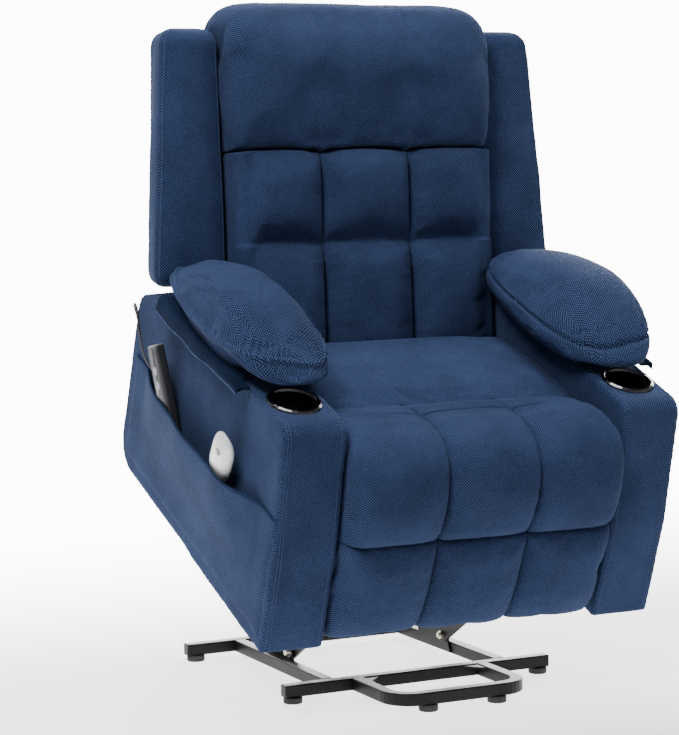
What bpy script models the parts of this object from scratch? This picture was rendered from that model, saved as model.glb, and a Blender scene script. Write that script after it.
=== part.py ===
"""Power lift recliner chair, standing in its lifted pose.

Axes: +X is the viewer's right, -Y the front, +Z up; metres. The floor is z = 0 and the origin lies
under the middle of the whole chair. The steel base is modelled in that frame. Everything above the
lift linkage is modelled in the chair's own frame, (x, back, up), whose bottom front edge is its origin,
and an empty tilts that frame forward as the lift does.
"""
import math

import bmesh
import bpy
from mathutils import Matrix, Vector

# ---------------------------------------------------------------- general
GAP = 0.0003                 # between faces that touch
PIN_CLEARANCE = 0.0003       # radial, between a pin and its hole
DECK_CLEARANCE = 0.0045      # between upholstered pieces that move past each other
ORIGIN_X = 0.0023            # the base's centre line, from the middle of the whole width
ORIGIN_TO_FRONT_TUBE = -0.0975   # from the origin to the front face of the front cross tube

# ---------------------------------------------------------------- base
TUBE = 0.024                 # side of the square steel tube
TUBE_EDGE = 0.0025           # radius of the tube's edges
FOOT_HEIGHT = 0.0125
FOOT_RADIUS = 0.0185
FRONT_TUBE_LENGTH = 0.580
REAR_TUBE_LENGTH = 0.613
BASE_LENGTH = 0.443          # front face of the front tube to front face of the rear tube
RAIL_SPACING = 0.380         # between the side rails' centre lines
LOOP_WIDTH = 0.298           # outside the front loop
LOOP_REACH = 0.179           # front tube to the front of the loop
LOOP_CORNER = 0.048          # bend radius at the tube's centre line
GUSSET_LEG = 0.034
GUSSET_THICKNESS = 0.004
FRONT_FOOT_SPACING = 0.539
REAR_FOOT_SPACING = 0.568
LOOP_FOOT_SPACING = 0.147
RAIL_TOP = FOOT_HEIGHT + TUBE

# ---------------------------------------------------------------- chair body
ARM_DEPTH = 0.767
ARM_HEIGHT = 0.4386
ARM_INNER = 0.2888           # half the space between the arms
ARM_OUTER = 0.415            # half the width over the arms, at the front
ARM_TAPER = 0.010            # how much each arm's outer side draws in towards the back
ARM_EDGE = 0.012
ARM_FRONT_ROUND = 0.034
ARM_HEEL = 0.062             # radius of the lower rear corner
ARM_SLOPE_START = 0.618      # where the arm's top starts to fall towards the back
ARM_REAR_HEIGHT = 0.382      # and the height that its rounded rear corner starts from
ARM_REAR_ROUND = 0.040
SEAT_SIDE_CLEARANCE = 0.0055
CUSHION_HALF = ARM_INNER - SEAT_SIDE_CLEARANCE
SEAT_FRONT = 0.129
SEAT_REAR = 0.512
SEAT_FRONT_HEIGHT = 0.428    # top of the crown
SEAT_REAR_HEIGHT = 0.372
SEAT_THICKNESS = 0.125
PLATFORM_THICKNESS = 0.012
BOARD_EDGE = 0.002           # bevel of the plywood panels

# ---------------------------------------------------------------- lift linkage
LIFT_TILT = math.radians(21.5)         # forward tilt of the chair when fully lifted
LIFTED_FRONT_Y = -0.1553               # bottom front edge of the arms, from the front tube's face
LIFTED_FRONT_Z = 0.1403
LINK_PIVOT = (0.225, 0.049)            # (y from the front tube, z)
GUIDE_PIVOT = (0.326, 0.075)
CHAIR_PIVOT = (0.116, 0.040)           # (back, up) in the chair's frame
CHAIR_GUIDE = (0.200, 0.031)
PLATE = 0.004                          # bracket and lug thickness
LINK_PLATE = 0.005
LINK_HALF_WIDTH = 0.015
GUIDE_HALF_WIDTH = 0.0125
PIVOT_RADIUS = 0.005
WASHER_RADIUS = 0.011
TORQUE_TUBE_RADIUS = 0.0125
TORQUE_TUBE_PLACE = 0.36               # share of the lift link's length
MOTOR_PIVOT = (0.420, 0.072)
CHAIR_MOTOR_PIVOT = (0.350, 0.150)
ACTUATOR_RADIUS = 0.0165
ROD_RADIUS = 0.010
EYE_RADIUS = 0.013
EYE_HALF_WIDTH = 0.011
MOTOR_RADIUS = 0.024
MOTOR_LENGTH = 0.105
ACTUATOR_TUBE_END = 0.275              # from the motor pivot, along the actuator

# ---------------------------------------------------------------- seat structure
SIDE_PLATE = 0.004
SIDE_PLATE_X = ARM_INNER - GAP - SIDE_PLATE    # inner face of the mechanism side plate
CROSS_TUBE_RADIUS = 0.011
CONTROL_BOX = (0.110, 0.080, 0.038)     # width, depth, height
CONTROL_BOX_PLACE = (-0.200, 0.440)    # (x, back)
FRONT_CROSS = (0.176, 0.105)
MIDDLE_CROSS = (0.365, 0.186)
LUG_X = RAIL_SPACING / 2 - TUBE / 2 + 0.011

# ---------------------------------------------------------------- backrest
RECLINE_PIVOT = (0.610, 0.240)
BACK_LEAN = math.radians(23.0)         # from the chair's up axis
BACK_PIN_RADIUS = 0.008
BOARD_THICKNESS = 0.015
BOARD_HEIGHT = 0.640
BACK_HALF = ARM_INNER - 0.0048         # half width of the middle cushions
BACK_TOP = 0.747                       # above the recline pivot, along the back
HEAD_SEAM = 0.455
LUMBAR_BOTTOM = 0.022
LUMBAR_DEPTH = 0.095                   # board to the bottom of the seams
LUMBAR_CROWN = 0.058
HEAD_CROWN = 0.045
HEAD_DROOP = 0.036                     # how far the head cushion's upper corners hang
HEAD_ROLL = 0.040                      # how far its top edge draws back
TUFT_COLUMNS = 3
BACK_REAR = 0.058
WING_FRONT = 0.071
WING_REAR = 0.050
WING_BOTTOM = 0.195
WING_TOP = 0.697
WING_INNER = BACK_HALF + DECK_CLEARANCE
WING_OUTER_BOTTOM = 0.435
WING_OUTER_TOP = 0.415
WING_REAR_TAPER = 0.030

# ---------------------------------------------------------------- footrest
FOOTREST_PIVOT = (0.155, 0.225)        # on the side plates, (back, up)
LOWER_LINK_LENGTH = 0.170
LOWER_LINK_ANGLE = math.radians(5.0)   # forward of straight down when closed
BOARD_PIVOT = (0.085, 0.250)
FOOT_LINK_PLATE = 0.004
FOOT_LINK_HALF_WIDTH = 0.010
FOOT_PIN_RADIUS = 0.004
FOOT_BOARD_REAR = 0.070
FOOT_BOARD_THICKNESS = 0.015
FOOT_BOARD_BOTTOM = 0.020
FOOT_BOARD_TOP = 0.372
FOOTREST_SEAM = 0.213
FOOTREST_BOTTOM = 0.008
FOOTREST_TOP = 0.432
FOOTREST_BULGE = 0.055                 # forward of the arms' front plane
FOOTREST_LOWER_BULGE = 0.034
FOOTREST_ROLL = 0.040                  # how far the upper pad's top draws back
FOOTREST_TUCK = 0.018                  # and each pad's foot
LINK_TUBE_RADIUS = 0.008
FOOTREST_LIP = 0.124                   # how far back the pad's top reaches
CHANNELS = 3

# ---------------------------------------------------------------- arm fittings
CUP_X = 0.352
CUP_BACK = 0.1344
CUP_RIM_RADIUS = 0.0517
CUP_BOWL_RADIUS = 0.0455
CUP_WALL = 0.002
CUP_DEPTH = 0.072
CUP_RIM_HEIGHT = 0.005
FLANGE = 0.0045                        # the sewn base panel under each arm pad
FLANGE_LIP_X = 0.440
FLANGE_LIP_BOTTOM = ARM_HEIGHT - 0.0246
FLANGE_SHOULDER = 0.008                # drop of the lip's inner bend
FLANGE_SLANT = 0.002
FLANGE_EDGE = 0.006
FLANGE_SETBACK = 0.030                 # from the pad's inner side to the panel's edge
PAD_FRONT = 0.148                      # the pad's bulging front, and where its base begins
PAD_BASE_FRONT = CUP_BACK + CUP_RIM_RADIUS + 0.004
PAD_REAR = 0.596
PAD_INNER = 0.252
PAD_OUTER = 0.455
PAD_HEIGHT = 0.1563
PAD_TOP = ARM_HEIGHT + GAP + FLANGE + GAP + PAD_HEIGHT
PAD_ROUNDNESS = 3.6
PAD_CREST = 0.27                       # where along the arm the pad starts to fall
PAD_REAR_RUN = 0.36
PAD_REAR_DROP = 0.105                  # fall of its top over that run towards the rear
PAD_LEAN = 0.42                        # how much its rear leans with the backrest
PAD_LEAN_START = 0.35
PAD_PINCH = 0.012                      # how far its foot draws in on each side
POCKET_FRONT = 0.040
POCKET_REAR = 0.735
POCKET_BOTTOM = 0.030
POCKET_EDGE = 0.248                    # height of the mouth
POCKET_BOW = 0.0365                    # how far the mouth gapes
POCKET_BOW_MIDDLE = 0.370
POCKET_BOW_HALF = 0.300
POCKET_THICKNESS = 0.0035
VALANCE_SETBACK = 0.026                # the rear apron, in from the arms' rear edges
VALANCE_THICKNESS = 0.008
VALANCE_BOTTOM = 0.020
VALANCE_TOP = 0.205

# ---------------------------------------------------------------- handset, remote, cord
HANDSET_SIZE = (0.020, 0.046, 0.175)   # thickness, width, length
HANDSET_TOP = (-0.4445, 0.566, 0.352)  # in the chair's frame
HANDSET_UP = (-0.137, 0.491, 0.860)    # from its foot to its top
BUTTON_RADIUS = 0.0085
BUTTON_TRAVEL = 0.0015
BUTTON_STAND = 0.0022
BUTTON_SPACING = 0.028
HANDSET_FIRST_BUTTON = 0.050           # below the handset's top
REMOTE_SIZE = (0.022, 0.062, 0.135)
REMOTE_MIDDLE = (-0.4375, 0.2195, 0.288)
REMOTE_UP = (-0.170, -0.500, 0.850)
REMOTE_BUTTON_RADIUS = 0.0075
REMOTE_BUTTON_PLACE = 0.0245           # above the remote's middle
CORD_DIAMETER = 0.0045
GLAND_PLACE = (-0.372, 0.240)          # (x, up) on the rear face of the left arm
GLAND_RADIUS = 0.008
GLAND_LENGTH = 0.012

COLLECTION = "lift_recliner_chair"


# ================================================================ scene and materials
def clear_scene():
    for item in list(bpy.data.objects):
        bpy.data.objects.remove(item, do_unlink=True)


def new_collection(name):
    collection = bpy.data.collections.new(name)
    bpy.context.scene.collection.children.link(collection)
    return collection


def new_material(name, color, roughness, metallic=0.0):
    material = bpy.data.materials.new(name)
    material.use_nodes = True
    shader = material.node_tree.nodes["Principled BSDF"]
    shader.inputs["Base Color"].default_value = (*color, 1.0)
    shader.inputs["Roughness"].default_value = roughness
    shader.inputs["Metallic"].default_value = metallic
    material.diffuse_color = (*color, 1.0)
    return material


clear_scene()
PARTS = new_collection(COLLECTION)
CUTTERS = new_collection("cutters")
FABRIC = new_material("blue_fabric", (0.026, 0.065, 0.180), 0.9)
LINING = new_material("dark_lining", (0.012, 0.014, 0.020), 0.95)
STEEL = new_material("black_steel", (0.012, 0.012, 0.013), 0.35, 0.3)
ZINC = new_material("zinc_steel", (0.55, 0.50, 0.38), 0.35, 0.9)
CHROME = new_material("bright_steel", (0.70, 0.70, 0.72), 0.18, 1.0)
RUBBER = new_material("black_rubber", (0.010, 0.010, 0.010), 0.85)
BLACK_PLASTIC = new_material("black_plastic", (0.015, 0.015, 0.017), 0.35)
SMOKED = new_material("cup_plastic", (0.010, 0.010, 0.012), 0.12)
WHITE_PLASTIC = new_material("white_plastic", (0.80, 0.80, 0.78), 0.25)
GREY_PLASTIC = new_material("grey_plastic", (0.32, 0.33, 0.34), 0.45)
PLYWOOD = new_material("plywood", (0.45, 0.31, 0.18), 0.65)


# ================================================================ frames
def new_frame(name, location, parent=None, rotation=(0.0, 0.0, 0.0)):
    """An empty that carries the pieces of one moving body, on that body's joint axis."""
    frame = bpy.data.objects.new(name, None)
    frame.empty_display_size = 0.03
    frame.location = location
    frame.rotation_euler = rotation
    frame.parent = parent
    PARTS.objects.link(frame)
    return frame


def turned(point, angle):
    """A (y, z) pair turned about the X axis."""
    y, z = point
    return y * math.cos(angle) - z * math.sin(angle), y * math.sin(angle) + z * math.cos(angle)


def lifted(point):
    """A (back, up) pair of the chair's frame, seen from the front tube with the chair lifted."""
    y, z = turned(point, LIFT_TILT)
    return LIFTED_FRONT_Y + y, LIFTED_FRONT_Z + z


BASE = new_frame("base_frame", (ORIGIN_X, ORIGIN_TO_FRONT_TUBE, 0.0))
LIFT = new_frame("lift_pivot", (0.0, *LINK_PIVOT), BASE)
GUIDE = new_frame("guide_pivot", (0.0, *GUIDE_PIVOT), BASE)
SEAT_JOINT = new_frame("chair_pivot", (0.0, *lifted(CHAIR_PIVOT)), BASE, (LIFT_TILT, 0.0, 0.0))
CHAIR = new_frame("chair_frame", (0.0, -CHAIR_PIVOT[0], -CHAIR_PIVOT[1]), SEAT_JOINT)
BACK = new_frame("recline_pivot", (0.0, *RECLINE_PIVOT), CHAIR, (-BACK_LEAN, 0.0, 0.0))

LOWER_LINK_END = (FOOTREST_PIVOT[0] - LOWER_LINK_LENGTH * math.sin(LOWER_LINK_ANGLE),
                  FOOTREST_PIVOT[1] - LOWER_LINK_LENGTH * math.cos(LOWER_LINK_ANGLE))
FOOT_LOWER = new_frame("footrest_lower_pivot", (0.0, *FOOTREST_PIVOT), CHAIR)
FOOT_UPPER = new_frame("footrest_upper_pivot", (0.0, *LOWER_LINK_END), CHAIR)
FOOT_BOARD = new_frame("footrest_pivot", (0.0, *BOARD_PIVOT), CHAIR)

MOTOR_REACH = [a - b for a, b in zip(lifted(CHAIR_MOTOR_PIVOT), MOTOR_PIVOT)]
ACTUATOR_LENGTH = math.hypot(*MOTOR_REACH)
ACTUATOR_ANGLE = math.atan2(MOTOR_REACH[1], MOTOR_REACH[0])
# local +Z runs along the actuator, from the motor's pivot to the rod's eye
MOTOR = new_frame("motor_pivot", (0.0, *MOTOR_PIVOT), BASE, (ACTUATOR_ANGLE - math.pi / 2, 0.0, 0.0))


# ================================================================ modelling helpers
def finish(name, mesh, material, parent, location=(0.0, 0.0, 0.0), matrix=None):
    """Make the named object, shade it and hang it on its frame."""
    mesh.name = name
    mesh.materials.clear()
    mesh.materials.append(material)
    mesh.shade_smooth()
    mesh.set_sharp_from_angle(angle=math.radians(35.0))
    piece = bpy.data.objects.new(name, mesh)
    PARTS.objects.link(piece)
    piece.parent = parent
    if matrix is None:
        piece.location = location
    else:
        piece.matrix_basis = matrix
    return piece


def mesh_from(build):
    """A mesh from a function that fills a bmesh, with its faces turned outwards."""
    form = bmesh.new()
    build(form)
    bmesh.ops.recalc_face_normals(form, faces=form.faces)
    mesh = bpy.data.meshes.new("form")
    form.to_mesh(mesh)
    form.free()
    return mesh


def box_mesh(low, high):
    """A box between two corners."""
    size = [h - l for l, h in zip(low, high)]
    middle = [(h + l) / 2 for l, h in zip(low, high)]

    def build(form):
        bmesh.ops.create_cube(form, size=1.0)
        bmesh.ops.scale(form, vec=size, verts=form.verts)
        bmesh.ops.translate(form, vec=middle, verts=form.verts)

    return mesh_from(build)


def rod_mesh(radius, low, high, axis="X", sides=16, place=(0.0, 0.0)):
    """A round bar along X (or Z), from low to high, through the point place of the other two axes."""
    def build(form):
        bmesh.ops.create_cone(form, cap_ends=True, segments=sides, radius1=radius, radius2=radius,
                              depth=high - low)
        if axis == "X":
            bmesh.ops.rotate(form, verts=form.verts, matrix=Matrix.Rotation(math.pi / 2, 3, "Y"))
            bmesh.ops.translate(form, vec=((low + high) / 2, *place), verts=form.verts)
        else:
            bmesh.ops.translate(form, vec=(*place, (low + high) / 2), verts=form.verts)

    return mesh_from(build)


def arc(centre, radius, start, stop, steps):
    """Points on an arc, with both of its ends."""
    angles = [start + (stop - start) * step / steps for step in range(steps + 1)]
    return [(centre[0] + radius * math.cos(a), centre[1] + radius * math.sin(a)) for a in angles]


def bar_outline(start, stop, radius, steps=6):
    """The outline of a flat bar with round ends about two pivots."""
    heading = math.atan2(stop[1] - start[1], stop[0] - start[0])
    half_turn = math.pi / 2
    return (arc(stop, radius, heading - half_turn, heading + half_turn, steps)
            + arc(start, radius, heading + half_turn, heading + 3 * half_turn, steps))


def plate_mesh(outline, low_x, high_x, holes=()):
    """A flat plate in the (y, z) plane, between two values of x; a hole is (centre, radius)."""
    curve = bpy.data.curves.new("outline", "CURVE")
    curve.dimensions = "2D"
    curve.fill_mode = "BOTH"
    curve.extrude = (high_x - low_x) / 2
    rings = [outline] + [arc(centre, radius, 0.0, 2 * math.pi, 16)[:-1] for centre, radius in holes]
    for ring in rings:
        spline = curve.splines.new("POLY")
        spline.points.add(len(ring) - 1)
        for point, (y, z) in zip(spline.points, ring):
            point.co = (y, z, 0.0, 1.0)
        spline.use_cyclic_u = True
    mesh = curve_to_mesh(curve)
    # the curve's own (x, y, z) becomes (y, z, x) of the piece
    turn = Matrix(((0, 0, 1, (low_x + high_x) / 2), (1, 0, 0, 0), (0, 1, 0, 0), (0, 0, 0, 1)))
    mesh.transform(turn)
    return mesh


def curve_to_mesh(curve):
    """The closed mesh of a curve: its evaluated surface with the caps welded on."""
    holder = bpy.data.objects.new("curve", curve)
    bpy.context.scene.collection.objects.link(holder)
    bpy.context.view_layer.update()
    evaluated = holder.evaluated_get(bpy.context.evaluated_depsgraph_get())
    mesh = bpy.data.meshes.new_from_object(evaluated)
    bpy.data.objects.remove(holder, do_unlink=True)
    form = bmesh.new()
    form.from_mesh(mesh)
    bmesh.ops.remove_doubles(form, verts=form.verts, dist=0.00001)
    bmesh.ops.recalc_face_normals(form, faces=form.faces)
    form.to_mesh(mesh)
    form.free()
    return mesh


def tube_mesh(points, radius, sides_level=3):
    """A round tube along a list of points."""
    curve = bpy.data.curves.new("tube", "CURVE")
    curve.dimensions = "3D"
    curve.bevel_depth = radius
    curve.bevel_resolution = sides_level
    curve.use_fill_caps = True
    spline = curve.splines.new("POLY")
    spline.points.add(len(points) - 1)
    for point, place in zip(spline.points, points):
        point.co = (*place, 1.0)
    return curve_to_mesh(curve)


def turned_piece(name, profile, material, parent, location, steps=24):
    """A profile of (radius, height) pairs, from the top down its outer side, turned about Z."""
    mesh = bpy.data.meshes.new("profile")
    points = [(radius, 0.0, height) for radius, height in profile]
    mesh.from_pydata(points, [(i, i + 1) for i in range(len(points) - 1)], [])
    piece = finish(name, mesh, material, parent, location)
    screw = piece.modifiers.new("turn", "SCREW")
    screw.steps = steps
    screw.render_steps = steps
    screw.use_merge_vertices = True
    screw.merge_threshold = 0.00001
    return piece


def bevel(piece, width, segments=2, angle=30.0):
    modifier = piece.modifiers.new("edge", "BEVEL")
    modifier.width = width
    modifier.segments = segments
    modifier.limit_method = "ANGLE"
    modifier.angle_limit = math.radians(angle)
    modifier.use_clamp_overlap = True
    return piece


def boolean(piece, mesh, operation, name):
    """Join a mesh to a piece, or cut it away; the mesh is in the piece's own coordinates."""
    tool = bpy.data.objects.new(name, mesh)
    CUTTERS.objects.link(tool)
    tool.parent = piece.parent
    tool.matrix_basis = piece.matrix_basis.copy()
    tool.hide_render = True
    tool.display_type = "WIRE"
    modifier = piece.modifiers.new(name, "BOOLEAN")
    modifier.operation = operation
    modifier.solver = "EXACT"
    modifier.object = tool
    return piece


def block_grid(form, cuts):
    """A 2 m cube whose edges along each axis are cut into the given number of lengths."""
    bmesh.ops.create_cube(form, size=2.0)
    for axis, count in enumerate(cuts):
        along = []
        for edge in form.edges:
            direction = edge.verts[1].co - edge.verts[0].co
            if abs(direction[axis]) > 0.9 * direction.length:
                along.append(edge)
        bmesh.ops.subdivide_edges(form, edges=along, cuts=count - 1, use_grid_fill=True)


def soft_block(name, low, high, power, cuts, material, parent, sculpt=None, flat=None):
    """A stuffed form: a block between two corners, rounded to a superellipsoid of the given power.

    sculpt(place, unit) may move each point; unit is the point on the 2 m cube that it came from.
    flat is (axis, sign) of the side that lies against something and so stays flat.
    """
    half = [(h - l) / 2 for l, h in zip(low, high)]
    middle = [(h + l) / 2 for l, h in zip(low, high)]

    def build(form):
        block_grid(form, cuts)
        for vertex in form.verts:
            unit = vertex.co.copy()
            shrink = sum(abs(value) ** power for value in unit) ** (1.0 / power)
            place = Vector(m + h * value / shrink for m, h, value in zip(middle, half, unit))
            if flat and unit[flat[0]] * flat[1] > 0.999:
                place[flat[0]] = middle[flat[0]] + flat[1] * half[flat[0]]
            vertex.co = sculpt(place, unit) if sculpt else place

    return finish(name, mesh_from(build), material, parent)


def puff(value, count):
    """Rises and falls between 0 and 1 once for each of count equal channels over -1 to 1."""
    return abs(math.sin(count * math.pi * (value + 1.0) / 2.0)) ** 0.5


def ramp(value, low, high):
    """0 below low, 1 above high and a smooth step between them."""
    share = min(max((value - low) / (high - low), 0.0), 1.0)
    return share * share * (3.0 - 2.0 * share)


# ================================================================ base
def square_tube(name, low, high):
    return bevel(finish(name, box_mesh(low, high), STEEL, BASE), TUBE_EDGE)


def foot(name, x, y):
    lip = 0.0015
    profile = [(0.0, FOOT_HEIGHT - GAP), (FOOT_RADIUS - lip, FOOT_HEIGHT - GAP),
               (FOOT_RADIUS, FOOT_HEIGHT - GAP - lip), (FOOT_RADIUS, lip),
               (FOOT_RADIUS - lip, 0.0), (0.0, 0.0)]
    turned_piece(name, profile, RUBBER, BASE, (x, y, 0.0), steps=16)


def front_loop():
    """The bent square tube in front of the base, with a gusset in each inner corner."""
    half = LOOP_WIDTH / 2 - TUBE / 2
    front = -LOOP_REACH + TUBE / 2
    quarter = math.pi / 2
    left_bend = arc((-half + LOOP_CORNER, front + LOOP_CORNER), LOOP_CORNER, 2 * quarter, 3 * quarter, 8)
    right_bend = [(-x, y) for x, y in reversed(left_bend)]
    path = [(-half, -GAP)] + left_bend + right_bend + [(half, -GAP)]

    section = bpy.data.curves.new("section", "CURVE")
    section.dimensions = "2D"
    ring = section.splines.new("POLY")
    inner = TUBE / 2 - TUBE_EDGE
    corners = []
    for index, (x, y) in enumerate(((inner, inner), (-inner, inner), (-inner, -inner), (inner, -inner))):
        corners += arc((x, y), TUBE_EDGE, index * quarter, (index + 1) * quarter, 2)
    ring.points.add(len(corners) - 1)
    for point, (x, y) in zip(ring.points, corners):
        point.co = (x, y, 0.0, 1.0)
    ring.use_cyclic_u = True
    guide = bpy.data.objects.new("tube_section", section)
    CUTTERS.objects.link(guide)
    guide.hide_render = True

    curve = bpy.data.curves.new("loop", "CURVE")
    curve.dimensions = "3D"
    curve.twist_mode = "Z_UP"
    curve.bevel_mode = "OBJECT"
    curve.bevel_object = guide
    curve.use_fill_caps = True
    spline = curve.splines.new("POLY")
    spline.points.add(len(path) - 1)
    for point, (x, y) in zip(spline.points, path):
        point.co = (x, y, FOOT_HEIGHT + TUBE / 2, 1.0)
    loop = finish("front_loop", curve_to_mesh(curve), STEEL, BASE)
    bpy.data.objects.remove(guide, do_unlink=True)

    inside = half - TUBE / 2 + 0.001
    top = RAIL_TOP - 0.002
    for side in (-1, 1):
        corner = side * inside
        outline = [(corner, -GAP), (corner - side * GUSSET_LEG, -GAP), (corner, -GAP - GUSSET_LEG)]
        boolean(loop, prism_mesh(outline, top - GUSSET_THICKNESS, top), "UNION", f"gusset_{side}")


def prism_mesh(outline, low_z, high_z):
    """A flat outline in the (x, y) plane, given thickness along Z."""
    mesh = plate_mesh(outline, low_z, high_z)
    # (x, y, z) of the plate is (z, x, y) of the prism
    mesh.transform(Matrix(((0, 1, 0, 0), (0, 0, 1, 0), (1, 0, 0, 0), (0, 0, 0, 1))))
    return mesh


def build_base():
    half_front = FRONT_TUBE_LENGTH / 2
    half_rear = REAR_TUBE_LENGTH / 2
    square_tube("front_cross_tube", (-half_front, 0.0, FOOT_HEIGHT), (half_front, TUBE, RAIL_TOP))
    square_tube("rear_cross_tube", (-half_rear, BASE_LENGTH, FOOT_HEIGHT),
                (half_rear, BASE_LENGTH + TUBE, RAIL_TOP))
    for side, name in ((-1, "left"), (1, "right")):
        middle = side * RAIL_SPACING / 2
        square_tube(f"side_rail_{name}", (middle - TUBE / 2, TUBE + GAP, FOOT_HEIGHT),
                    (middle + TUBE / 2, BASE_LENGTH - GAP, RAIL_TOP))
        foot(f"foot_front_{name}", side * FRONT_FOOT_SPACING / 2, TUBE / 2)
        foot(f"foot_rear_{name}", side * REAR_FOOT_SPACING / 2, BASE_LENGTH + TUBE / 2)
        foot(f"foot_loop_{name}", side * LOOP_FOOT_SPACING / 2, -LOOP_REACH + TUBE / 2)
    front_loop()


# ================================================================ lift linkage
BRACKET_X = RAIL_SPACING / 2 - TUBE / 2 - GAP       # outer face of the base bracket
LINK_X = BRACKET_X - PLATE - GAP                    # outer face of the lift link
GUIDE_X = BRACKET_X + GAP + LINK_PLATE              # outer face of the guide link


def side_span(side, near, far):
    """The low and high x of a plate between two distances from the middle plane."""
    return (near, far) if side > 0 else (-far, -near)


def pivot_bracket(side, name):
    """The plate on the inside of the side rail that carries both lower pivots, with the guide's pin."""
    margin = 0.014
    low = FOOT_HEIGHT + 0.003
    outline = [(LINK_PIVOT[0] - 0.024, low), (GUIDE_PIVOT[0] + 0.022, low),
               (GUIDE_PIVOT[0] + margin, RAIL_TOP)]
    outline += arc(GUIDE_PIVOT, margin, 0.0, math.radians(120.0), 6)
    outline += arc(LINK_PIVOT, margin, math.radians(80.0), math.pi, 6)
    outline += [(LINK_PIVOT[0] - margin, RAIL_TOP)]
    mesh = plate_mesh(outline, *side_span(side, BRACKET_X - PLATE, BRACKET_X),
                      holes=[(LINK_PIVOT, PIVOT_RADIUS + PIN_CLEARANCE)])
    bracket = finish(f"pivot_bracket_{name}", mesh, STEEL, BASE)
    pin = rod_mesh(PIVOT_RADIUS, *side_span(side, BRACKET_X - 0.002, GUIDE_X + 0.002), place=GUIDE_PIVOT)
    boolean(bracket, pin, "UNION", f"guide_pin_{name}")


def pivot_bolt(side, name):
    """Bolt, washer and nut of the lift link's lower pivot, turned as one piece about its axis."""
    head = 0.0075
    nut_start = LINK_X - LINK_PLATE - GAP
    washer = 0.002
    outer = BRACKET_X + GAP
    profile = [(0.0, outer + washer + head), (0.0065, outer + washer + head),
               (0.0075, outer + washer + head - 0.001), (0.0075, outer + washer),
               (WASHER_RADIUS, outer + washer), (WASHER_RADIUS, outer), (PIVOT_RADIUS, outer),
               (PIVOT_RADIUS, nut_start), (0.0085, nut_start), (0.0085, nut_start - 0.006),
               (PIVOT_RADIUS, nut_start - 0.006), (PIVOT_RADIUS, nut_start - 0.010),
               (0.0, nut_start - 0.010)]
    bolt = turned_piece(f"pivot_bolt_{name}", profile, ZINC, BASE, (0.0, *LINK_PIVOT), steps=14)
    bolt.rotation_euler = (0.0, side * math.pi / 2, 0.0)


def build_lift():
    reach = [a - b for a, b in zip(lifted(CHAIR_PIVOT), LINK_PIVOT)]
    guide_reach = [a - b for a, b in zip(lifted(CHAIR_GUIDE), GUIDE_PIVOT)]
    hole = PIVOT_RADIUS + PIN_CLEARANCE
    tube_place = [value * TORQUE_TUBE_PLACE for value in reach]
    for side, name in ((-1, "left"), (1, "right")):
        pivot_bracket(side, name)
        pivot_bolt(side, name)
        link = plate_mesh(bar_outline((0.0, 0.0), reach, LINK_HALF_WIDTH),
                          *side_span(side, LINK_X - LINK_PLATE, LINK_X),
                          holes=[((0.0, 0.0), hole), (reach, hole)])
        finish(f"lift_link_{name}", link, STEEL, LIFT)
        guide = plate_mesh(bar_outline((0.0, 0.0), guide_reach, GUIDE_HALF_WIDTH),
                           *side_span(side, GUIDE_X - LINK_PLATE, GUIDE_X), holes=[((0.0, 0.0), hole)])
        guide_link = finish(f"guide_link_{name}", guide, STEEL, GUIDE)
        stub = rod_mesh(PIVOT_RADIUS, *side_span(side, GUIDE_X - 0.002, LUG_X - GAP),
                        place=guide_reach)
        boolean(guide_link, stub, "UNION", f"guide_stub_{name}")
    end = LINK_X - LINK_PLATE - GAP
    finish("lift_torque_tube", rod_mesh(TORQUE_TUBE_RADIUS, -end, end, place=tube_place), STEEL, LIFT)


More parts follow.
